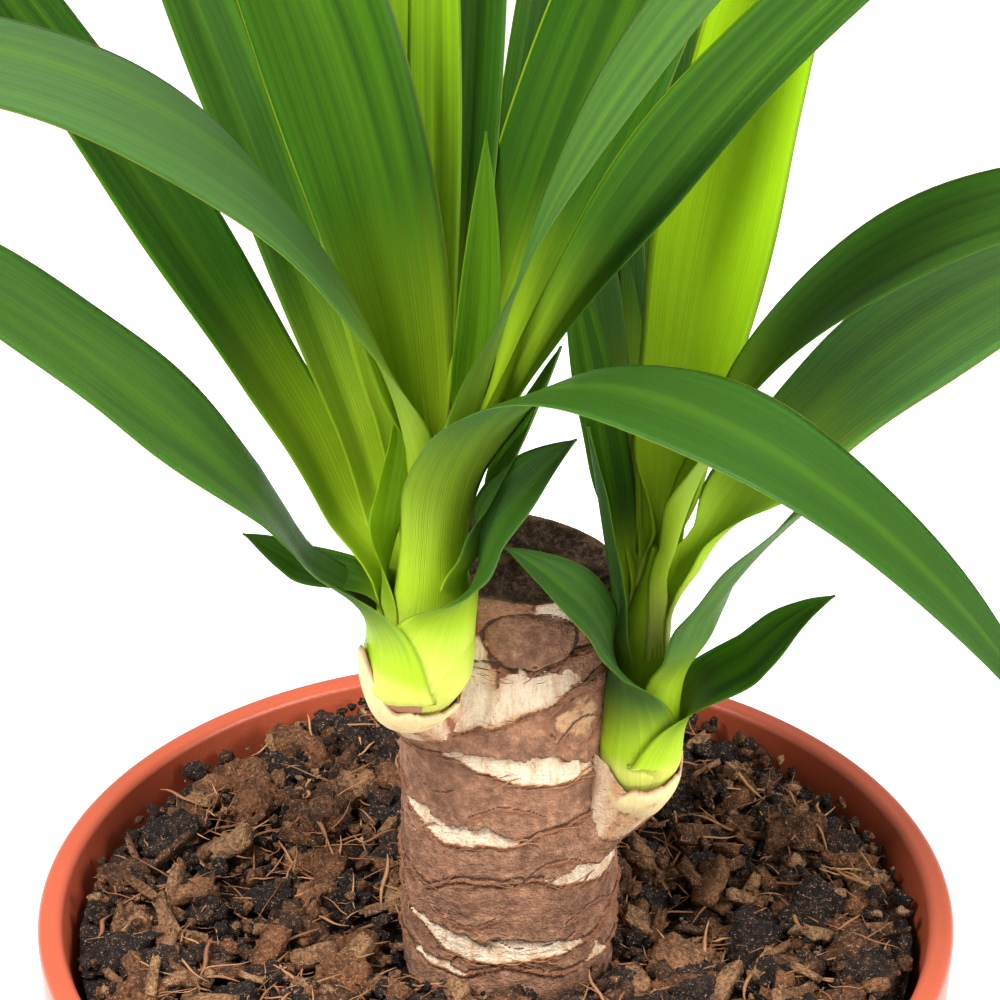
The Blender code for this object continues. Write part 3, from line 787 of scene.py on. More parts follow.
def pot_outline():
    """The pot's section, from the axis under its floor, up outside and back down inside."""
    inner_top = RIM_RADIUS - RIM_WIDTH
    outer_top = inner_top + WALL
    shoulder = POT_HEIGHT - RIM_DROP
    inner_shoulder = inner_top - (outer_top - FOOT_RADIUS) / shoulder * RIM_DROP
    skirt = RIM_RADIUS - RIM_TAPER
    yield (0, 0)
    yield (FOOT_RADIUS * FOOT_RING, 0)
    yield from arc((FOOT_RADIUS - FOOT_ROUND, FOOT_ROUND), FOOT_ROUND, -90, -8, 10)
    yield from straight((FOOT_RADIUS, FOOT_ROUND), (outer_top, shoulder), 12)
    yield from arc((outer_top + NECK_OUT, shoulder - NECK_DROP), NECK_ROUND, 180, 90, 5)
    yield from arc((skirt - RIM_EDGE, shoulder + RIM_EDGE), RIM_EDGE, -90, -5, 5)
    yield (RIM_RADIUS - RIM_TAPER / 2, POT_HEIGHT - RIM_DROP / 2)
    yield from arc((RIM_RADIUS - RIM_ROUND, POT_HEIGHT - RIM_ROUND), RIM_ROUND, 0, 90, 10)
    yield from arc((inner_top + RIM_ROUND, POT_HEIGHT - RIM_ROUND), RIM_ROUND, 90, 180, 10)
    yield (inner_shoulder, shoulder)
    yield from straight((inner_shoulder, shoulder), (FOOT_RADIUS - WALL, FLOOR), 8)
    yield (FOOT_RADIUS - WALL - FLOOR_CORNER, FLOOR)
    yield (FOOT_RADIUS * FLOOR_RING, FLOOR)
    yield (0, FLOOR)


def soil_level(x, y):
    """The height of the soil's surface between its lumps."""
    broad, fine = (noise.noise(Vector((x, y, 0)) * wave) for wave in SWELL_WAVES)
    rise = SOIL_RISE * smooth((math.hypot(x, y) - RISE_FROM) / RISE_WIDTH)
    return POT_HEIGHT - SOIL_DROP + SOIL_SWELL * (broad + fine / 2) + rise


def waves(where, table, start=Vector((0, 0, 0))):
    """A sum of noises, each with its own fineness and size."""
    return sum(noise.noise(where * wave + start) * size for wave, size in table)


def faceted(point, planes):
    """The point, pushed in behind every plane that it lies outside."""
    for normal, distance in planes:
        point = point - normal * max(0.0, point.dot(normal) - distance)
    return point


def lump_matrix(place, rng):
    """Where a clod goes and how it is squashed and turned, and where its dents begin."""
    turn = Matrix.Rotation(rng.uniform(0, math.tau), 4, "Z")
    tilt = Matrix.Rotation(rng.uniform(-LUMP_TILT, LUMP_TILT), 4, "X")
    squash = Matrix.Diagonal([rng.uniform(*limits) for limits in LUMP_SQUASH] + [1])
    own_dents = Vector([rng.uniform(-9, 9) for _ in range(3)])
    return Matrix.Translation(place) @ turn @ tilt @ squash, own_dents


def lump_places(rng):
    """Where the clods lie, with the size and shade of each: the larger ones first, then a spiral."""
    large = [(Vector((x, y)) * MM, size * MM) for x, y, size, _ in BIG_LUMPS]
    for (place, size), (_, _, _, shade) in zip(large, BIG_LUMPS):
        yield place, size, shade
    wall = inner_radius(POT_HEIGHT - SOIL_DROP)
    for index in range(LUMP_COUNT):
        size = rng.uniform(*LUMP_SIZES)
        share = (index + 0.5) / LUMP_COUNT
        radius = math.sqrt(CANE_RADIUS**2 + (wall**2 - CANE_RADIUS**2) * share)
        radius = min(radius + rng.uniform(-1, 1) * LUMP_SCATTER, wall - size * WALL_CLEAR)
        angle = index * GOLDEN_ANGLE
        place = Vector((math.cos(angle), math.sin(angle))) * radius
        if all((place - other).length > other_size / 2 for other, other_size in large):
            yield place, size, None


def add_clod(bm, tint_layer, matrix, own_dents, size, fineness, shade):
    """One clod with crumbly facets."""
    made = bmesh.ops.create_icosphere(bm, subdivisions=fineness, radius=size / 2)
    ways = [noise.random_unit_vector() for _ in range(CLOD_FACETS)]
    planes = [(way, size * (FACET_NEAR + FACET_STEP * (index % 5))) for index, way in enumerate(ways)]
    for vertex in made["verts"]:
        vertex.co *= 1 + LUMP_DENT * noise.noise(vertex.co * LUMP_DENTS / size + own_dents)
        rough = 1 + CLOD_ROUGH * waves(vertex.co / size, CLOD_WAVES, own_dents)
        vertex.co = faceted(vertex.co, planes) * rough
        vertex[tint_layer] = shade
    bmesh.ops.transform(bm, matrix=matrix, verts=made["verts"])


def tinted_bmesh():
    """A new bmesh whose points carry a tint, and the layer that holds it."""
    bm = bmesh.new()
    return bm, bm.verts.layers.float.new("tint")


def posed(place, turn, sizes):
    """The matrix that sizes a mould along its own axes, turns it and puts it in its place."""
    return Matrix.Translation(place) @ turn @ Matrix.Diagonal((*sizes, 1))


def scatter(name, moulds, copies, material):
    """One piece made of many copies of a few small moulds, each with its own tint."""
    bm, _ = tinted_bmesh()
    for mould, matrix, tint in copies:
        copy = moulds[mould].copy()
        copy.transform(matrix)
        copy.attributes["tint"].data.foreach_set("value", [tint] * len(copy.vertices))
        bm.from_mesh(copy)
        bpy.data.meshes.remove(copy)
    made = piece(name, bm, material)
    for mould in moulds:
        bpy.data.meshes.remove(mould)
    return made


def crumb_mould(index):
    """A small crumb of about 1 m across, to be scaled down: a dented, cornered ball."""
    bm, _ = tinted_bmesh()
    bmesh.ops.create_icosphere(bm, subdivisions=2, radius=0.5)
    for vertex in bm.verts:
        vertex.co *= 1 + CRUMB_DENT * noise.noise(vertex.co * CRUMB_DENTS + Vector((index * 7.3, 0, 0)))
    return mesh_from(bm, "crumb_mould")


def fibre_mould(index, bend):
    """A thin, bent and tapered fibre of about 1 m length along X, to be scaled down."""
    bm, _ = tinted_bmesh()
    rng = random.Random(index)
    bows = [rng.uniform(-bend, bend) for _ in range(4)]
    thick = rng.uniform(*FIBRE_THICKNESS)

    def place(turn, level):
        radius = thick * (1 - 0.75 * abs(2 * level - 1) ** 2)
        y = bows[0] * math.sin(math.pi * level) + bows[1] * math.sin(2 * math.pi * level)
        z = bows[2] * math.sin(math.pi * level) + bows[3] * math.sin(3 * math.pi * level) * 0.4
        angle = math.tau * turn
        return (Vector((level - 0.5, y + radius * math.cos(angle), z + radius * 0.6 * math.sin(angle))),)

    wrap(bm, 4, 7, place)
    return mesh_from(bm, "fibre_mould")


def chip_mould(index):
    """A flat bark chip of about 1 m length, with torn ends."""
    bm, _ = tinted_bmesh()
    rng = random.Random(index)
    bmesh.ops.create_cube(bm, size=1)
    bmesh.ops.subdivide_edges(bm, edges=bm.edges[:], cuts=2, use_grid_fill=True)
    width = rng.uniform(*CHIP_WIDTHS)
    seed = Vector((index * 3.1, 1.7, 0))
    for vertex in bm.verts:
        torn = 0.3 * noise.noise(Vector((vertex.co.y * 5, index * 9.1, 0)))
        vertex.co.x += torn * abs(vertex.co.x)
        vertex.co.y *= width * (1 - 0.35 * abs(vertex.co.x))
        vertex.co.z *= CHIP_THICKNESS
        vertex.co += noise.noise_vector(vertex.co * 3 + seed) * 0.08
        vertex.co.z += CHIP_CURL * vertex.co.x**2
    return mesh_from(bm, "chip_mould")


def bed_place(rng, margin):
    """A random point on the soil between the cane and the pot's wall."""
    wall = inner_radius(POT_HEIGHT - SOIL_DROP) - margin
    radius = math.sqrt(lerp(CANE_RADIUS**2, wall**2, rng.random()))
    angle = rng.uniform(0, math.tau)
    return Vector((radius * math.cos(angle) + CANE_X * (1 - radius / wall), radius * math.sin(angle)))


def raised(rng, place, kind):
    """The point of a loose bit at a random height above the soil."""
    return (*place, soil_level(*place) + rng.uniform(*kind.heights))


def crumb_pose(rng, place, kind):
    """A crumb, turned any way."""
    size = rng.uniform(*kind.sizes) * rng.uniform(0.6, 1)
    point = raised(rng, place, kind)
    turn = Matrix.Rotation(rng.uniform(0, math.tau), 4, Vector((rng.random(), rng.random(), 1)))
    return posed(point, turn, (size, size * 0.8, size * 0.7))


def chip_pose(rng, place, kind):
    """A chip, lying tilted. Some are slivers."""
    size = rng.uniform(*kind.sizes)
    slim = size * rng.choice(CHIP_SLIMNESS)
    point = raised(rng, place, kind)
    turn = Matrix.Rotation(rng.uniform(0, math.tau), 4, "Z")
    turn @= Matrix.Rotation(rng.uniform(-0.8, 0.8), 4, "X")
    turn @= Matrix.Rotation(rng.uniform(-0.6, 0.6), 4, "Y")
    return posed(point, turn, (size, slim, size))


def fibre_pose(rng, place, kind):
    """A fibre, lying nearly flat."""
    size = rng.uniform(*kind.sizes)
    point = raised(rng, place, kind)
    turn = Matrix.Rotation(rng.uniform(0, math.tau), 4, "Z")
    turn @= Matrix.Rotation(rng.gauss(0, 0.3), 4, "Y")
    slim = FIBRE_SLIM + size * rng.uniform(0.1, 0.5)
    return posed(point, turn, (size, slim, slim))


def strew(name, count, kind, pose, moulds, material):
    """A piece of loose bits on the soil. Kinds without tints of their own are mostly dark."""
    rng = random.Random(kind.seed)
    copies = []
    for _ in range(count):
        matrix = pose(rng, bed_place(rng, kind.clear), kind)
        mould = rng.randrange(len(moulds))
        tint = rng.choice(kind.tints) if kind.tints else rng.random() ** 1.6
        copies.append((mould, matrix, tint))
    scatter(name, moulds, copies, material)


def cane_heights():
    """The heights of the rings that the cane's side is drawn with."""
    coarse = [CANE_FOOT + step * (CANE_FINE_FROM - CANE_FOOT) / 6 for step in range(6)]
    count = round((CANE_TOP - CANE_FINE_FROM) / CANE_RISE)
    return coarse + [lerp(CANE_FINE_FROM, CANE_TOP, step / count) for step in range(count + 1)]


def scar_height(line, azimuth):
    """The height of a scar line at an azimuth in degrees, in millimetres."""
    points = sorted(line)
    points = [(points[-1][0] - 360, points[-1][1]), *points, (points[0][0] + 360, points[0][1])]
    for (low, low_height), (high, high_height) in zip(points, points[1:]):
        if low <= azimuth <= high:
            return lerp(low_height, high_height, smooth((azimuth - low) / (high - low)))
    return points[0][1]


def peel_width(peels, azimuth):
    """How far the bark above a scar line has peeled at an azimuth, in millimetres."""
    width = 0
    for start, end, widest in peels:
        share = (azimuth - start) / (end - start)
        if 0 < share < 1:
            width = max(width, widest * math.sin(math.pi * share) ** 0.6)
    return width


def bud_swell(azimuth, height):
    """How far the cane swells towards the foot of each shoot, in millimetres."""
    swell = 0
    for shoot, size in ((LEFT_SHOOT, BUD_SWELLS[0]), (RIGHT_SHOOT, BUD_SWELLS[1])):
        x, y, z = shoot.route[1]
        towards = math.degrees(math.atan2(y, x - CANE_X / MM))
        away = (azimuth - towards + 180) % 360 - 180
        round_it = math.radians(away) * CANE_RADIUS / MM
        swell += size * bell(round_it, BUD_WIDTH) * bell(height - z, BUD_HEIGHT)
    return swell


def patch_reach(azimuth, height, patch):
    """How far a point lies from the middle of a patch of bark, which ends at 1."""
    middle, level, wide, high = patch[:4]
    return math.hypot((azimuth - middle) / wide, (height - level) / high)


def scar_marks(height, where, ripple, worn, columns):
    """What each leaf scar adds to the radius, in millimetres, and its cream, rust and dark marks; the
    dark mark is painted shade in the grooves, cracks and lips of the bark. Each bell has its half width in
    millimetres."""
    for line, width in columns:
        above = height - line - ripple * SCAR_RIPPLE
        groove = above + GROOVE_DROP
        ridge = 0.5 * bell(above, 0.42) * worn - 0.3 * bell(groove, 0.3)
        yield ridge, 0.0, bell(above, 0.6) * (0.5 + 0.6 * worn), 0.85 * bell(groove, 0.26)
        torn = width * (1 + 0.35 * noise.noise(where * 8 + Vector((line, 0, 0)))) if width else 0
        if width and 0 < above < torn:
            share = above / torn
            yield -0.30 - 0.55 * share, min(1.0, 0.5 + 2.2 * min(share, 1 - share)), 0.0, 0.0
        elif width:
            lip = above - torn
            yield 0.30 * bell(lip, 0.9), 0.0, 0.55 * bell(lip, 0.5), 0.8 * bell(lip, 0.30)
        else:
            crack = above - CRACK_RISE
            yield -0.45 * bell(crack, 0.35), 0.0, 0.0, bell(crack, 0.32)


def bare_marks(azimuth, height, ripple):
    """The same for each patch of bare wood."""
    for patch in BARE:
        reach = patch_reach(azimuth, height, patch) + 0.25 * ripple
        inside = max(0.0, 1 - reach)
        cream = patch[-1] * min(1.0, 0.5 + 1.6 * inside) if inside else 0.0
        # The dark ring at the edge is painted shade along the step down to the bare wood.
        rust, dark = 0.8 * bell(reach - 1.12, 0.10), 0.7 * bell(reach - 1.04, 0.05)
        yield -0.3 * smooth(inside * 3), cream, rust, dark


def flake_marks(azimuth, height, ripple):
    """The same for each crack round a flake of bark."""
    for start, end, foot, rise in FLAKES:
        share = (azimuth - start) / (end - start)
        if 0 < share < 1:
            over = height - foot - rise * math.sin(math.pi * share) - ripple * 0.5
            # The dark mark is painted shade in the crack.
            yield 0.35 * bell(over + 0.5, 0.35), 0.0, 0.75 * bell(over + 0.7, 0.6), 0.9 * bell(over, 0.28)


def cane_surface(azimuth, height, columns):
    """The cane's radius in millimetres at a point of its side, and its cream, rust and dark marks."""
    where = compass(math.radians(azimuth))
    where.z = height * MM / CANE_RADIUS
    ripple = waves(where, RIPPLE_WAVES)
    worn = 0.65 + 0.9 * noise.noise(where * 3.3 + Vector((5, 0, 0)))
    nearest = min([height - line for line, _ in columns if height > line], default=9)
    parts = [(SCAR_STEP * math.exp(-nearest / SCAR_FALL), 0.0, 0.0, 0.0)]
    parts += scar_marks(height, where, ripple, worn, columns)
    parts += bare_marks(azimuth, height, ripple)
    parts += flake_marks(azimuth, height, ripple)
    relief, *marks = zip(*parts)
    radius = CANE_RADIUS / MM - BARK_THINNER + waves(where, BARK_WAVES) + sum(relief)
    cream, rust, dark = map(max, marks)
    reach = patch_reach(azimuth, height, OVAL_SCAR) + 0.09 * ripple
    if reach < OVAL_END:
        cream = 0 if reach < 0.97 else cream
        radius += 0.35 * (1 - smooth((reach - 0.6) / 0.5)) - 0.35 * bell(reach - 1.02, 0.06)
        # The dark ring is painted shade in the oval scar's rim groove.
        dark = max(dark * smooth(reach), bell(reach - 1.02, 0.05))
        rust = max(rust * smooth(reach), 0.5 * bell(reach - 1.1, 0.07) * worn)
    return radius + bud_swell(azimuth, height), (cream, rust, dark)


def cane_top(x, y):
    """The height of the sawn top over a point that is given from the cane's axis."""
    return CANE_TOP + CANE_TOP_SLANT[0] * x + CANE_TOP_SLANT[1] * y


def stem_at(shoot, height):
    """The stem's middle, in metres, and its radius at a height in millimetres above its foot."""
    middle, radius = stem_core(shoot, height)
    swell = shoot.bulge * bell(height - BULGE_HEIGHT, BULGE_REACH)
    return middle, radius + swell - FOOT_TAPER * (1 - smooth(height / FOOT_REACH))


def stem_core(shoot, height):
    """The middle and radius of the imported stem, without the swelling of the leaf bases."""
    points = [Vector(point) for point in shoot.route[2:]]
    radii = shoot.radii[2:]
    level = points[0].z + height
    if level <= points[0].z:
        below = (points[0].z - level) * MM
        return points[0] * MM - Vector((0, 0, below)), radii[0]
    for low, high, thick, thin in zip(points, points[1:], radii, radii[1:]):
        if level <= high.z:
            share = (level - low.z) / (high.z - low.z)
            return low.lerp(high, share) * MM, lerp(thick, thin, share)
    over = (level - points[-1].z) * MM
    return points[-1] * MM + Vector((0, 0, over)), radii[-1]


def blade_half_width(leaf, share):
    """Half a blade's width at a share of its length."""
    opening = BASE_WIDTH + (1 - BASE_WIDTH) * smooth(share / WIDEST)
    closing = 1 - max(0.0, (share - WIDEST) / (1 - WIDEST)) ** TIP_TAPER
    return max(leaf.width * MM / 2 * opening * closing, BLADE_TIP / 2)


def blade_way(leaf, share):
    """The way a blade points at a share of its length, and the way across it."""
    lean = math.radians(leaf.lean + leaf.arch * share)
    azimuth = math.radians(leaf.azimuth + leaf.swing * share)
    outward = compass(azimuth)
    forward = outward * math.sin(lean) + Vector((0, 0, math.cos(lean)))
    return forward, Vector((-outward.y, outward.x, 0))


def blade_line(shoot, leaf, layer):
    """The midrib as a list of (distance in metres, point, way across), from the base up."""
    outward = compass(math.radians(leaf.azimuth))
    length = leaf.length * MM
    clasp = leaf.clasp * MM
    stations = []
    leave = lerp(*LEAVE_STEM, smooth((leaf.height - LOW_LEAF) / LOW_LEAF))
    root = stem_at(shoot, leaf.height)[0] + outward * ROOT_OUT
    point = root.copy()
    travelled = 0.0
    for level in range(BLADE_LEVELS + 1):
        distance = -clasp + (length + clasp) * (level / BLADE_LEVELS) ** LEVEL_POWER
        while travelled < distance:
            step = min(PATH_STEP, distance - travelled)
            point = point + blade_way(leaf, (travelled + step / 2) / length)[0] * step
            travelled += step
        share = max(distance, 0) / length
        forward, side = blade_way(leaf, share)
        on_path = point if distance >= 0 else root + forward * distance
        middle, radius = stem_at(shoot, leaf.height + distance / MM)
        reach = (radius - CORE_THINNER + layer) * MM
        on_stem = middle + outward * reach
        on_path = on_path + outward * max(reach - ROOT_OUT, 0) * (1 - smooth(distance / REJOIN))
        place = on_stem.lerp(on_path, smooth(distance / leave))
        stations.append((distance, place, side))
    return stations


def around_blade(turn):
    """For a turn round a flat blade: the way across it, from -1 to 1, and if it is on its upper face."""
    return (1 - 4 * turn, True) if turn < 0.5 else (4 * turn - 3, False)


def add_blade(bm, shoot, leaf, layer, seed):
    """One leaf: a clasping base that opens into an arching blade, folded up along its midrib."""
    stations = blade_line(shoot, leaf, layer)
    length = leaf.length * MM
    clasp = leaf.clasp * MM
    greening = lerp(LOW_GREENING, 0, smooth((leaf.height - LOW_LEAF) / 3))

    def place(turn, level):
        index = round(level * BLADE_LEVELS)
        distance, middle, side = stations[index]
        before, after = stations[max(index - 1, 0)][1], stations[min(index + 1, BLADE_LEVELS)][1]
        forward = (after - before).normalized()
        side = (side - forward * side.dot(forward)).normalized()
        share = max(distance, 0) / length
        rolled = smooth((distance - ROLL_FROM) / length * ROLL_HASTE)
        side = Matrix.Rotation(math.radians(leaf.roll) * rolled, 3, forward) @ side
        upper = forward.cross(side)
        across, is_upper = around_blade(turn)
        round_stem = (stem_at(shoot, leaf.height + distance / MM)[1] - CORE_THINNER + layer) * MM
        base_half = math.radians(leaf.wrap) * round_stem
        opened = smooth((distance + clasp) / (clasp + OPENING))
        half = lerp(base_half, blade_half_width(leaf, share), opened)
        curl = round_stem / (1 - UNCURLED * smooth(distance / UNCURL))
        bend = across * half / curl
        held = side * math.sin(bend) * curl + upper * (1 - math.cos(bend)) * curl
        fold = math.radians(leaf.fold + (BASE_FOLD - leaf.fold) * (1 - smooth(share / BASE_SHARE)))
        trough = math.sqrt(across * across + TROUGH_ROUND) - math.sqrt(TROUGH_ROUND)
        wave = EDGE_WAVE * smooth(share * 3) * math.sin(share * EDGE_WAVES + seed * WAVE_SHIFT)
        rise = trough * math.sin(fold) + wave * across * abs(across)
        free = side * across * half * math.cos(fold) + upper * half * rise
        loose = smooth((distance + LOOSE_EARLY) / LOOSEN)
        slope = lerp(bend, math.copysign(fold, across) * min(abs(across) * 6, 1), loose)
        out = upper * math.cos(slope) - side * math.sin(slope)
        thickness = lerp(BASE_THICKNESS, BLADE_THICKNESS, smooth(share * 5)) * (1 - across**4)
        lift = thickness * (1 - loose / 2) if is_upper else -thickness * loose / 2
        point = middle + held.lerp(free, loose) + out * lift
        pale = distance + greening * max(0.0, distance + clasp - LOW_PALE)
        return point, (across, pale, share), (leaf.tone, leaf.grey, 0.0 if is_upper else 1.0)

    wrap(bm, BLADE_SIDES, BLADE_LEVELS, place, ("blade", "looks"))


def add_stem(bm, shoot):
    """The stem's core, which the leaves' bases cover."""
    top = shoot.route[-1][2] - shoot.route[2][2]

    def place(turn, level):
        height = lerp(-2, top, level)
        middle, radius = stem_at(shoot, height)
        thin = (radius - CORE_THINNER) * (1 - 0.5 * smooth(level * 3 - 2))
        return middle + compass(math.tau * turn) * thin * MM, (0.5, height * MM - 0.01, 0), (0.8, 0, 0)

    wrap(bm, STEM_SIDES, STEM_SIDES, place, ("blade", "looks"))


def scale_point(shoot, scale, across, level):
    """A point on a bladeless scale that hugs the stem, and the way out of it."""
    height = lerp(scale.foot, scale.top - SCALE_ROUND * across * across, level)
    middle, radius = stem_at(shoot, height)
    out = compass(math.radians(scale.azimuth + across * scale.wrap * (1 - SCALE_NARROWS * level)))
    snug = radius - CORE_THINNER + SCALE_OUT + scale.out - SCALE_SLOPE * level
    return middle + out * snug * MM, out, height


def add_scale(bm, shoot, scale):
    """A short leaf base with no blade, wrapped round the stem's foot."""

    def place(turn, level):
        across, is_upper = around_blade(turn)
        point, out, height = scale_point(shoot, scale, across, level)
        thickness = SCALE_THICKNESS * (1 - across**4) * (-1 if is_upper else 1)
        return point + out * thickness / 2, (across * 0.8, height * MM - 0.012, 0), (0.6, 0, 0)

    wrap(bm, SCALE_SIDES, SCALE_LEVELS, place, ("blade", "looks"))


def add_husk(bm, shoot):
    """A rough, fibrous sleeve from inside the cane to the foot of a shoot."""
    points = [Vector(point) for point in shoot.route[:3]]
    points[2].z += HUSK_OVERLAP
    thick = [radius + more for radius, more in zip(shoot.radii, HUSK_THICK[shoot.name])]
    lip_azimuth, lip_rise = HUSK_LIPS[shoot.name]

    def place(turn, level):
        angle = math.tau * turn
        around = compass(angle)
        first, second = (0, 1) if level < 0.5 else (1, 2)
        share = (level * 2) % 1 if level < 1 else 1
        middle = points[first].lerp(points[second], share)
        radius = lerp(thick[first], thick[second], smooth(share))
        strands = noise.noise(around * 7 + Vector((0, 0, level * 1.5)))
        lip = max(0.0, math.cos(angle - math.radians(lip_azimuth))) ** 2
        radius += HUSK_FLARE * lip * level**2
        radius += 0.5 * strands + 0.25 * noise.noise(around * 19 + Vector((0, 0, level * 3)))
        dark = 0.7 * strands if level >= HUSK_TORN else 0
        point = middle + around * radius
        point.z += (1.2 * noise.noise(around * 3) + lip_rise * lip) * level**3
        cream = 0.53 + 0.6 * noise.noise(around * 2.4 + Vector((0, 0, level)))
        return point * MM, (cream, HUSK_RUST, dark)

    wrap(bm, HUSK_SIDES, HUSK_LEVELS, place, ("bark",))


def sheath_point(shoot, turn, level):
    """A point of a sheath at a turn round it and a level up it."""
    flap_azimuth, flap_rise, flap_flare, rise = shoot.sheath
    angle = math.tau * turn
    facing = math.cos(angle - math.radians(flap_azimuth))
    flap = max(0.0, facing) ** FLAP_SHARPNESS
    torn = sum(high * math.sin(count * angle + start) for high, count, start in SHEATH_TEARS)
    ragged = SHEATH_RAGGED * noise.noise(compass(angle) * 14)
    top = rise * MM + torn + ragged + flap * flap_rise * MM + SHEATH_LEAN * facing
    base = shoot.radii[2] * MM + SHEATH_CLEAR
    radius = base - SHEATH_CUP * (1 - level) ** 2 + flap * flap_flare * MM * math.sqrt(level)
    height = SHEATH_LOW + (top - SHEATH_LOW) * level
    middle = stem_at(shoot, max(height, 0) / MM)[0]
    point = compass(angle) * radius + middle
    point.z = shoot.route[2][2] * MM + height
    return point


def add_sheath(bm, shoot):
    """The papery collar round a shoot's foot, as a thin wall."""
    def place(turn, level):
        upward = level < 0.5
        up = level * 2 if upward else 2 - level * 2
        point = sheath_point(shoot, turn, up)
        if not upward:
            point -= compass(math.tau * turn) * SHEATH_WALL
        return point, (up**SHEATH_BROWNING, 0, 0)

    wrap(bm, SHEATH_SIDES, SHEATH_LEVELS, place, ("paper",))
    bmesh.ops.remove_doubles(bm, verts=bm.verts[:], dist=1e-6)


def paint(name, description, *colour):
    """A colour that the panel can change."""
    return FloatVectorProperty(name=name, description=description, subtype="COLOR", default=colour)


class PotSettings(bpy.types.PropertyGroup):
    """What can be changed on the pot."""

    colour: paint("Colour", "The plastic's colour", 0.440, 0.082, 0.036)
    roughness: FloatProperty(
        name="Roughness", description="How dull the plastic is", default=0.36, min=0, max=1, subtype="FACTOR"
    )


class SoilSettings(bpy.types.PropertyGroup):
    """What can be changed in the soil."""

    crumbs: IntProperty(name="Crumbs", description="How many small crumbs lie on the soil", default=1450)
    fibres: IntProperty(name="Fibres", description="How many coir fibres lie on the soil", default=1150)
    chips: IntProperty(name="Chips", description="How many bark chips lie on the soil", default=320)
    dark: paint("Peat", "The darkest peat", 0.024, 0.014, 0.010)
    brown: paint("Bark", "The brown bark lumps", 0.270, 0.104, 0.038)
    pale: paint("Wood", "The pale wood chips", 0.480, 0.250, 0.115)
    rust: paint("Coir", "The reddest fibres", 0.220, 0.080, 0.028)
    fleck: paint("Flecks", "The pale flecks on the lumps", 0.62, 0.42, 0.28)
    straw: paint("Straw", "The palest fibres", 0.420, 0.210, 0.090)


class CaneSettings(bpy.types.PropertyGroup):
    """What can be changed on the cane."""

    skin: paint("Bark", "The bark's main colour", 0.200, 0.096, 0.055)
    worn: paint("Worn bark", "Bark that is rubbed grey", 0.430, 0.210, 0.115)
    light: paint("Light specks", "The bark's pale specks", 0.520, 0.330, 0.220)
    rust: paint("Scar edge", "The leaf scars' raised edges", 0.330, 0.130, 0.062)
    cream: paint("Peeled wood", "Wood under peeled bark", 0.900, 0.730, 0.530)
    tan: paint("Dry wood", "Older peeled wood", 0.620, 0.320, 0.140)
    # Cracks: painted shade in cracks and hollows, and also the dark grain of bare wood and the sawn top's
    # mottle.
    dark: paint("Cracks", "Cracks and hollows", 0.045, 0.022, 0.014)
    sawn: paint("Sawn top", "The weathered cut", 0.230, 0.125, 0.078)


class LeafSettings(bpy.types.PropertyGroup):
    """What can be changed on the leaves."""

    deep: paint("Deep green", "The darkest leaves", 0.016, 0.058, 0.002)
    green: paint("Green", "Most of the leaves", 0.039, 0.115, 0.002)
    # Lime is partly painted light shining through young leaves.
    lime: paint("Lime", "Young leaves with light behind them", 0.290, 0.500, 0.006)
    # Grey green is partly a painted sheen.
    grey: paint("Grey green", "The bloom on older leaves", 0.088, 0.165, 0.055)
    # Young is partly painted light shining through the leaf bases.
    young: paint("Young", "Yellow-green near the base", 0.330, 0.490, 0.014)
    base: paint("Base", "The pale foot of a leaf", 0.560, 0.600, 0.110)
    # The midrib band is partly a painted highlight along the fold.
    midrib: paint("Midrib", "The light band along the middle", 0.160, 0.340, 0.012)
    pale_reach: FloatProperty(
        name="Pale reach", description="How far the pale base runs up a leaf", default=0.078, unit="LENGTH"
    )
    gloss: FloatProperty(
        name="Roughness", description="How dull the leaves are", default=0.38, min=0, max=1, subtype="FACTOR"
    )


class SheathSettings(bpy.types.PropertyGroup):
    """What can be changed on the dry sheaths."""

    cream: paint("Cream", "The inside of a sheath", 0.80, 0.68, 0.34)
    straw: paint("Straw", "Its drier fibres", 0.68, 0.47, 0.22)
    brown: paint("Brown", "Its torn edge", 0.32, 0.13, 0.065)


class StageSettings(bpy.types.PropertyGroup):
    """What can be changed on the stage."""

    lens: FloatProperty(name="Lens", description="Focal length in millimetres", default=LENS_MM)
    look_down: FloatProperty(
        name="Look down", description="The camera's tilt below level", default=LOOK_DOWN, subtype="ANGLE"
    )
    distance: FloatProperty(
        name="Distance", description="Camera to the middle of the view", default=VIEW_DISTANCE, unit="LENGTH"
    )
    key_light: FloatProperty(
        name="Key light", description="Power of the large lamp", default=34, unit="POWER"
    )
    fill_light: FloatProperty(
        name="Fill light", description="Power of the side lamp", default=18, unit="POWER"
    )
    sky: FloatProperty(name="Sky", description="Strength of the light from all round", default=0.46)


class YUCCA_OT_pot(bpy.types.Operator):
    """Make the nursery pot with its rolled rim and drain holes"""

    bl_idname = "yucca.pot"
    bl_label = "Pot"

    def execute(self, context):
        bm = turned(list(pot_outline()), POT_SIDES)
        pot = piece("nursery_pot", bm, plastic(context.scene.yucca_pot), ("pot",))
        cut_drains(pot)
        pot.data.shade_smooth()
        pot.data.set_sharp_from_angle(angle=SHARP_EDGE)
        for face in pot.data.polygons:
            face.use_smooth = abs(face.normal.z) < LEVEL_FACE
        return {"FINISHED"}


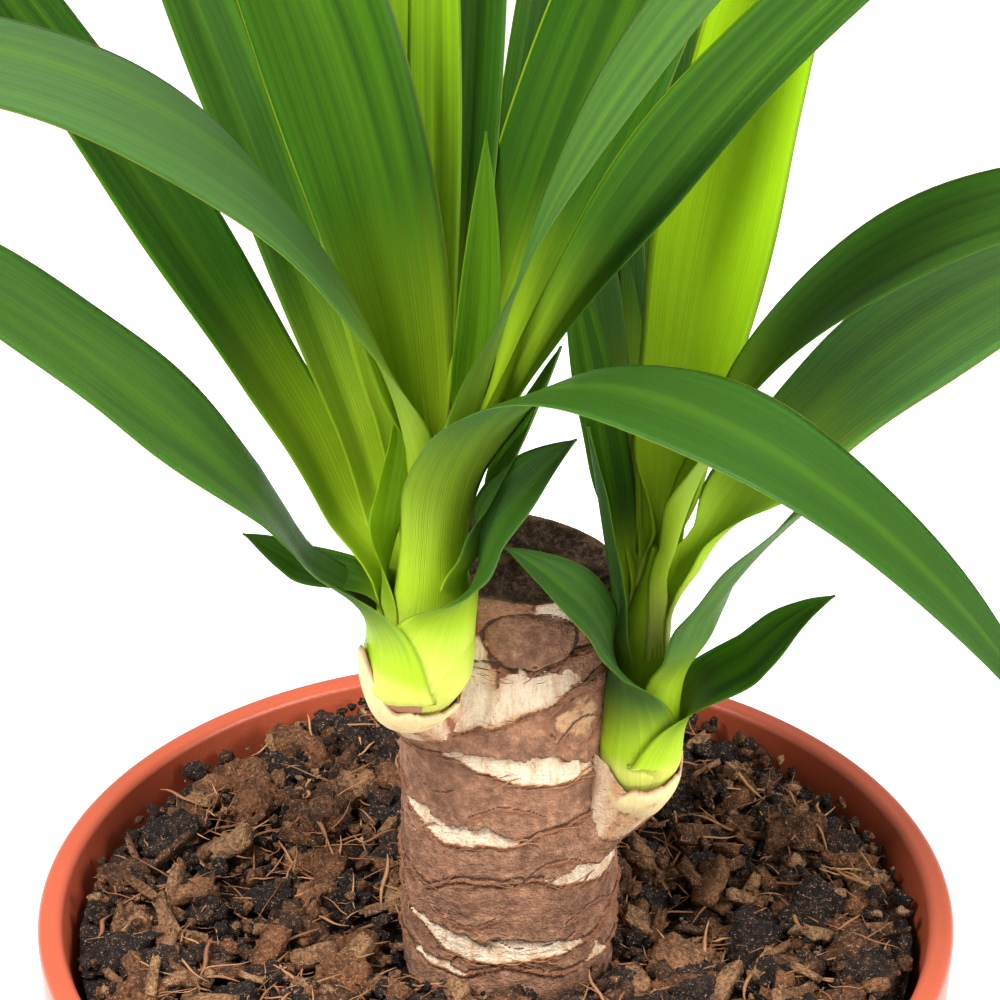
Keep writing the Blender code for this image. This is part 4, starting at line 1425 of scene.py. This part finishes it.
class YUCCA_OT_soil(bpy.types.Operator):
    """Make the soil bed with its clods, crumbs, chips and fibres"""

    bl_idname = "yucca.soil"
    bl_label = "Soil"

    def execute(self, context):
        settings = context.scene.yucca_soil
        self.peat = peat(settings)
        self.bed()
        self.clods()
        for name, kind in (("soil_crumbs", CRUMBS), ("soil_fine_crumbs", FINE_CRUMBS)):
            crumbs = [crumb_mould(index) for index in range(CRUMB_MOULDS)]
            strew(name, settings.crumbs, kind, crumb_pose, crumbs, self.peat)
        chips = [chip_mould(index) for index in range(CHIP_MOULDS)]
        strew("soil_chips", settings.chips, CHIPS, chip_pose, chips, self.peat)
        fibres = [fibre_mould(index, FIBRE_BEND) for index in range(FIBRE_MOULDS)]
        strew("soil_fibres", settings.fibres, FIBRES, fibre_pose, fibres, coir(settings))
        return {"FINISHED"}

    def bed(self):
        """The body of the soil, as deep as the pot."""
        level = POT_HEIGHT - SOIL_DROP
        floor = FLOOR + GAP
        side = inner_radius(level - 2 * SOIL_SWELL) - 2 * GAP
        outline = [(0, floor), (inner_radius(floor) - 2 * GAP, floor)]
        outline += [(side * (1 - ring / BED_RINGS), level) for ring in range(BED_RINGS + 1)]
        bm = turned(outline, BED_SIDES)
        tint = bm.verts.layers.float.new("tint")
        grain, depth = BED_GRAIN
        shade, change, fineness = BED_TINT
        for vertex in bm.verts:
            if vertex.co.z > level - GAP:
                rough = noise.fractal(vertex.co * grain, 0.6, 2.0, 4)
                vertex.co.z = soil_level(vertex.co.x, vertex.co.y) + depth * (rough - 0.5)
                vertex[tint] = shade + change * noise.noise(vertex.co * fineness)
        piece("soil_bed", bm, self.peat, ("soil",))

    def clods(self):
        """The lumps of the packed soil, with crumbly skins."""
        noise.seed_set(LUMP_SEED)
        rng = random.Random(LUMP_SEED)
        shades = random.Random(LUMP_SEED + 1)
        (large, large_tint), (small, small_tint) = tinted_bmesh(), tinted_bmesh()
        for place, size, shade in lump_places(rng):
            matrix, dents = lump_matrix((*place, soil_level(*place) + size * LUMP_SINK), rng)
            if shade is None:
                shade = shades.choice(CLOD_TINTS)
                add_clod(small, small_tint, matrix, dents, size, CLOD_DETAIL, shade)
            else:
                add_clod(large, large_tint, matrix, dents, size, CLOD_DETAIL + 1, shade)
        piece("soil_large_clods", large, self.peat)
        piece("soil_clods", small, self.peat)


class YUCCA_OT_cane(bpy.types.Operator):
    """Make the ringed cane, its peeled bark, sawn top and frayed fibres"""

    bl_idname = "yucca.cane"
    bl_label = "Cane"

    def execute(self, context):
        self.trunk(bark(context.scene.yucca_cane))
        self.frays(coir(context.scene.yucca_soil))
        self.husks(bark(context.scene.yucca_cane))
        return {"FINISHED"}

    def trunk(self, material):
        """The cane's side and its sawn top."""
        heights = cane_heights()
        last = len(heights) - 1
        grain, depth = SAWN_GRAIN
        columns = []
        for side in range(CANE_SIDES):
            azimuth = side / CANE_SIDES * 360 - 180
            column = [(scar_height(scar.line, azimuth), peel_width(scar.peel, azimuth)) for scar in SCARS]
            columns.append(column)

        def place(turn, level):
            index = round(level * (last + CUT_RINGS))
            azimuth = turn * 360 - 180
            height = heights[min(index, last)]
            radius, marks = CANE_RADIUS / MM, (0, 0, 0)
            if height >= CANE_FINE_FROM:
                column = columns[round(turn * CANE_SIDES) % CANE_SIDES]
                radius, marks = cane_surface(azimuth, height / MM, column)
            inward = max(index - last, 0) / CUT_RINGS
            flat = compass(math.radians(azimuth)) * radius * MM * (1 - inward)
            grow = smooth((height - SLANT_FROM) / (CANE_TOP - SLANT_FROM))
            height += grow * (cane_top(flat.x, flat.y) - CANE_TOP)
            if index > last:
                rough = noise.fractal(flat * grain, 0.7, 2.0, 4)
                height += depth * (rough * smooth(inward * 8) - smooth(inward * 5))
                marks = (0, 0, 0)
            return Vector((flat.x + CANE_X, flat.y, height)), marks, (smooth(inward * 12), 0, 0)

        bm = bmesh.new()
        wrap(bm, CANE_SIDES, last + CUT_RINGS, place, ("bark", "cut_mark"))
        cut = bm.verts.layers.float.new("cut")
        mark = bm.verts.layers.float_vector["cut_mark"]
        for vertex in bm.verts:
            vertex[cut] = vertex[mark].x
        bm.verts.layers.float_vector.remove(mark)
        piece("cane_trunk", bm, material, ("cane",))

    def husks(self, material):
        """The fibrous husks that hold the feet of the shoots."""
        bm = bmesh.new()
        for shoot in (LEFT_SHOOT, RIGHT_SHOOT):
            add_husk(bm, shoot)
        piece("bud_husks", bm, material)

    def frays(self, material):
        """Frayed bark fibres along the scar lines."""
        rng = random.Random(FRAY_SEED)
        copies = []
        for _ in range(FRAY_COUNT):
            scar = rng.choice(SCARS[1:])
            azimuth = rng.uniform(-180, 180)
            height = scar_height(scar.line, azimuth) + rng.gauss(0, 0.5)
            angle = math.radians(azimuth)
            radius = CANE_RADIUS - FRAY_SINK + bud_swell(azimuth, height) * MM
            point = compass(angle) * radius + Vector((CANE_X, 0, height * MM))
            size = rng.uniform(*FRAY_SIZES)
            slim = size * rng.uniform(*FRAY_SLIMNESS)
            turn = Matrix.Rotation(angle + math.pi / 2 + rng.gauss(0, 0.12), 4, "Z")
            turn @= Matrix.Rotation(rng.gauss(0, 0.35), 4, "Y")
            matrix = posed(point, turn, (size, slim, slim))
            copies.append((rng.randrange(len(FRAY_MOULDS)), matrix, rng.random() ** 2 * 0.7))
        moulds = [fibre_mould(index, FRAY_BEND) for index in FRAY_MOULDS]
        scatter("cane_frays", moulds, copies, material)


class YUCCA_OT_shoots(bpy.types.Operator):
    """Make the two leafy shoots"""

    bl_idname = "yucca.shoots"
    bl_label = "Shoots"

    def execute(self, context):
        material = leaf_skin(context.scene.yucca_leaf)
        for shoot in (LEFT_SHOOT, RIGHT_SHOOT):
            bm = bmesh.new()
            lowest = min(leaf.height for leaf in shoot.leaves)
            for index, leaf in enumerate(shoot.leaves):
                layer = max(0.0, LAYER_OUT - LAYER_STEP * (leaf.height - lowest))
                add_blade(bm, shoot, leaf, layer, index)
            piece(f"{shoot.name}_leaves", bm, material, (f"{shoot.name}_shoot",))
            bm = bmesh.new()
            add_stem(bm, shoot)
            for scale in shoot.scales:
                if not scale.dry:
                    add_scale(bm, shoot, scale)
            piece(f"{shoot.name}_stem", bm, material)
        return {"FINISHED"}


class YUCCA_OT_sheaths(bpy.types.Operator):
    """Make the dry sheaths round the feet of the shoots"""

    bl_idname = "yucca.sheaths"
    bl_label = "Sheaths"

    def execute(self, context):
        material = paper(context.scene.yucca_sheath)
        for shoot in (LEFT_SHOOT, RIGHT_SHOOT):
            bm = bmesh.new()
            add_sheath(bm, shoot)
            piece(f"{shoot.name}_collar", bm, material, (f"{shoot.name}_sheath",))
            dry = [scale for scale in shoot.scales if scale.dry]
            for index, scale in enumerate(dry):
                bm = bmesh.new()
                add_scale(bm, shoot, scale)
                layer = bm.verts.layers.float_vector.new("paper")
                height_layer = bm.verts.layers.float_vector["blade"]
                for vertex in bm.verts:
                    vertex[layer] = (vertex[height_layer].y / (scale.top * MM), scale.dry, 0)
                piece(f"{shoot.name}_dry_scale_{index + 1}", bm, material)
        return {"FINISHED"}


class YUCCA_OT_stage(bpy.types.Operator):
    """Make the floor, the lights and the camera"""

    bl_idname = "yucca.stage"
    bl_label = "Stage"

    def execute(self, context):
        scene = context.scene
        settings = scene.yucca_stage
        bm = bmesh.new()
        bmesh.ops.create_grid(bm, x_segments=1, y_segments=1, size=FLOOR_SIZE)
        mesh = mesh_from(bm, "floor")
        mesh.materials.append(stage_floor())
        add_object("floor", mesh)
        world = bpy.data.worlds.new("soft_sky")
        world.use_nodes = True
        sky = world.node_tree.nodes["Background"]
        sky.inputs["Color"].default_value = SKY_COLOUR
        sky.inputs["Strength"].default_value = settings.sky
        scene.world = world
        scene.view_settings.view_transform = "Standard"
        self.lamp("key_lamp", KEY_PLACE, KEY_SIZE, settings.key_light)
        self.lamp("fill_lamp", FILL_PLACE, FILL_SIZE, settings.fill_light)
        scene.camera = self.camera(settings)
        return {"FINISHED"}

    def lamp(self, name, place, size, power):
        """A large soft lamp that faces the plant."""
        data = bpy.data.lights.new(name, "AREA")
        data.shape = "DISK"
        data.size = size
        data.energy = power
        lamp = add_object(name, data)
        lamp.location = place
        lamp.rotation_euler = (VIEW_CENTRE - Vector(place)).to_track_quat("-Z", "Y").to_euler()

    def camera(self, settings):
        """A camera at the photograph's angle."""
        data = bpy.data.cameras.new("camera")
        data.lens = settings.lens
        data.clip_start = CLIP_START
        camera = add_object("camera", data)
        back = Vector((0, -math.cos(settings.look_down), math.sin(settings.look_down)))
        camera.location = VIEW_CENTRE + back * settings.distance
        camera.rotation_euler = (math.pi / 2 - settings.look_down, 0, 0)
        return camera


class YUCCA_PT_panel(bpy.types.Panel):
    """Lists the plant's operators and settings."""

    bl_idname = "YUCCA_PT_panel"
    bl_label = "Potted Yucca"
    bl_space_type = "VIEW_3D"
    bl_region_type = "UI"
    bl_category = "Yucca"

    def draw(self, context):
        for operator, group in STEPS:
            box = self.layout.box()
            box.operator(operator)
            settings = getattr(context.scene, group)
            for name in settings.__annotations__:
                box.prop(settings, name)


GROUPS = {
    "yucca_pot": PotSettings,
    "yucca_soil": SoilSettings,
    "yucca_cane": CaneSettings,
    "yucca_leaf": LeafSettings,
    "yucca_sheath": SheathSettings,
    "yucca_stage": StageSettings,
}
STEPS = (
    ("yucca.pot", "yucca_pot"),
    ("yucca.soil", "yucca_soil"),
    ("yucca.cane", "yucca_cane"),
    ("yucca.shoots", "yucca_leaf"),
    ("yucca.sheaths", "yucca_sheath"),
    ("yucca.stage", "yucca_stage"),
)
OPERATORS = (
    YUCCA_OT_pot,
    YUCCA_OT_soil,
    YUCCA_OT_cane,
    YUCCA_OT_shoots,
    YUCCA_OT_sheaths,
    YUCCA_OT_stage,
    YUCCA_PT_panel,
)


def register():
    for name, group in GROUPS.items():
        bpy.utils.register_class(group)
        setattr(bpy.types.Scene, name, PointerProperty(type=group))
    for operator in OPERATORS:
        bpy.utils.register_class(operator)


def unregister():
    for operator in reversed(OPERATORS):
        bpy.utils.unregister_class(operator)
    for name, group in GROUPS.items():
        delattr(bpy.types.Scene, name)
        bpy.utils.unregister_class(group)


def main():
    register()
    bpy.ops.yucca.pot()
    bpy.ops.yucca.soil()
    bpy.ops.yucca.cane()
    bpy.ops.yucca.shoots()
    bpy.ops.yucca.sheaths()
    bpy.ops.yucca.stage()


if __name__ == "__main__":
    main()
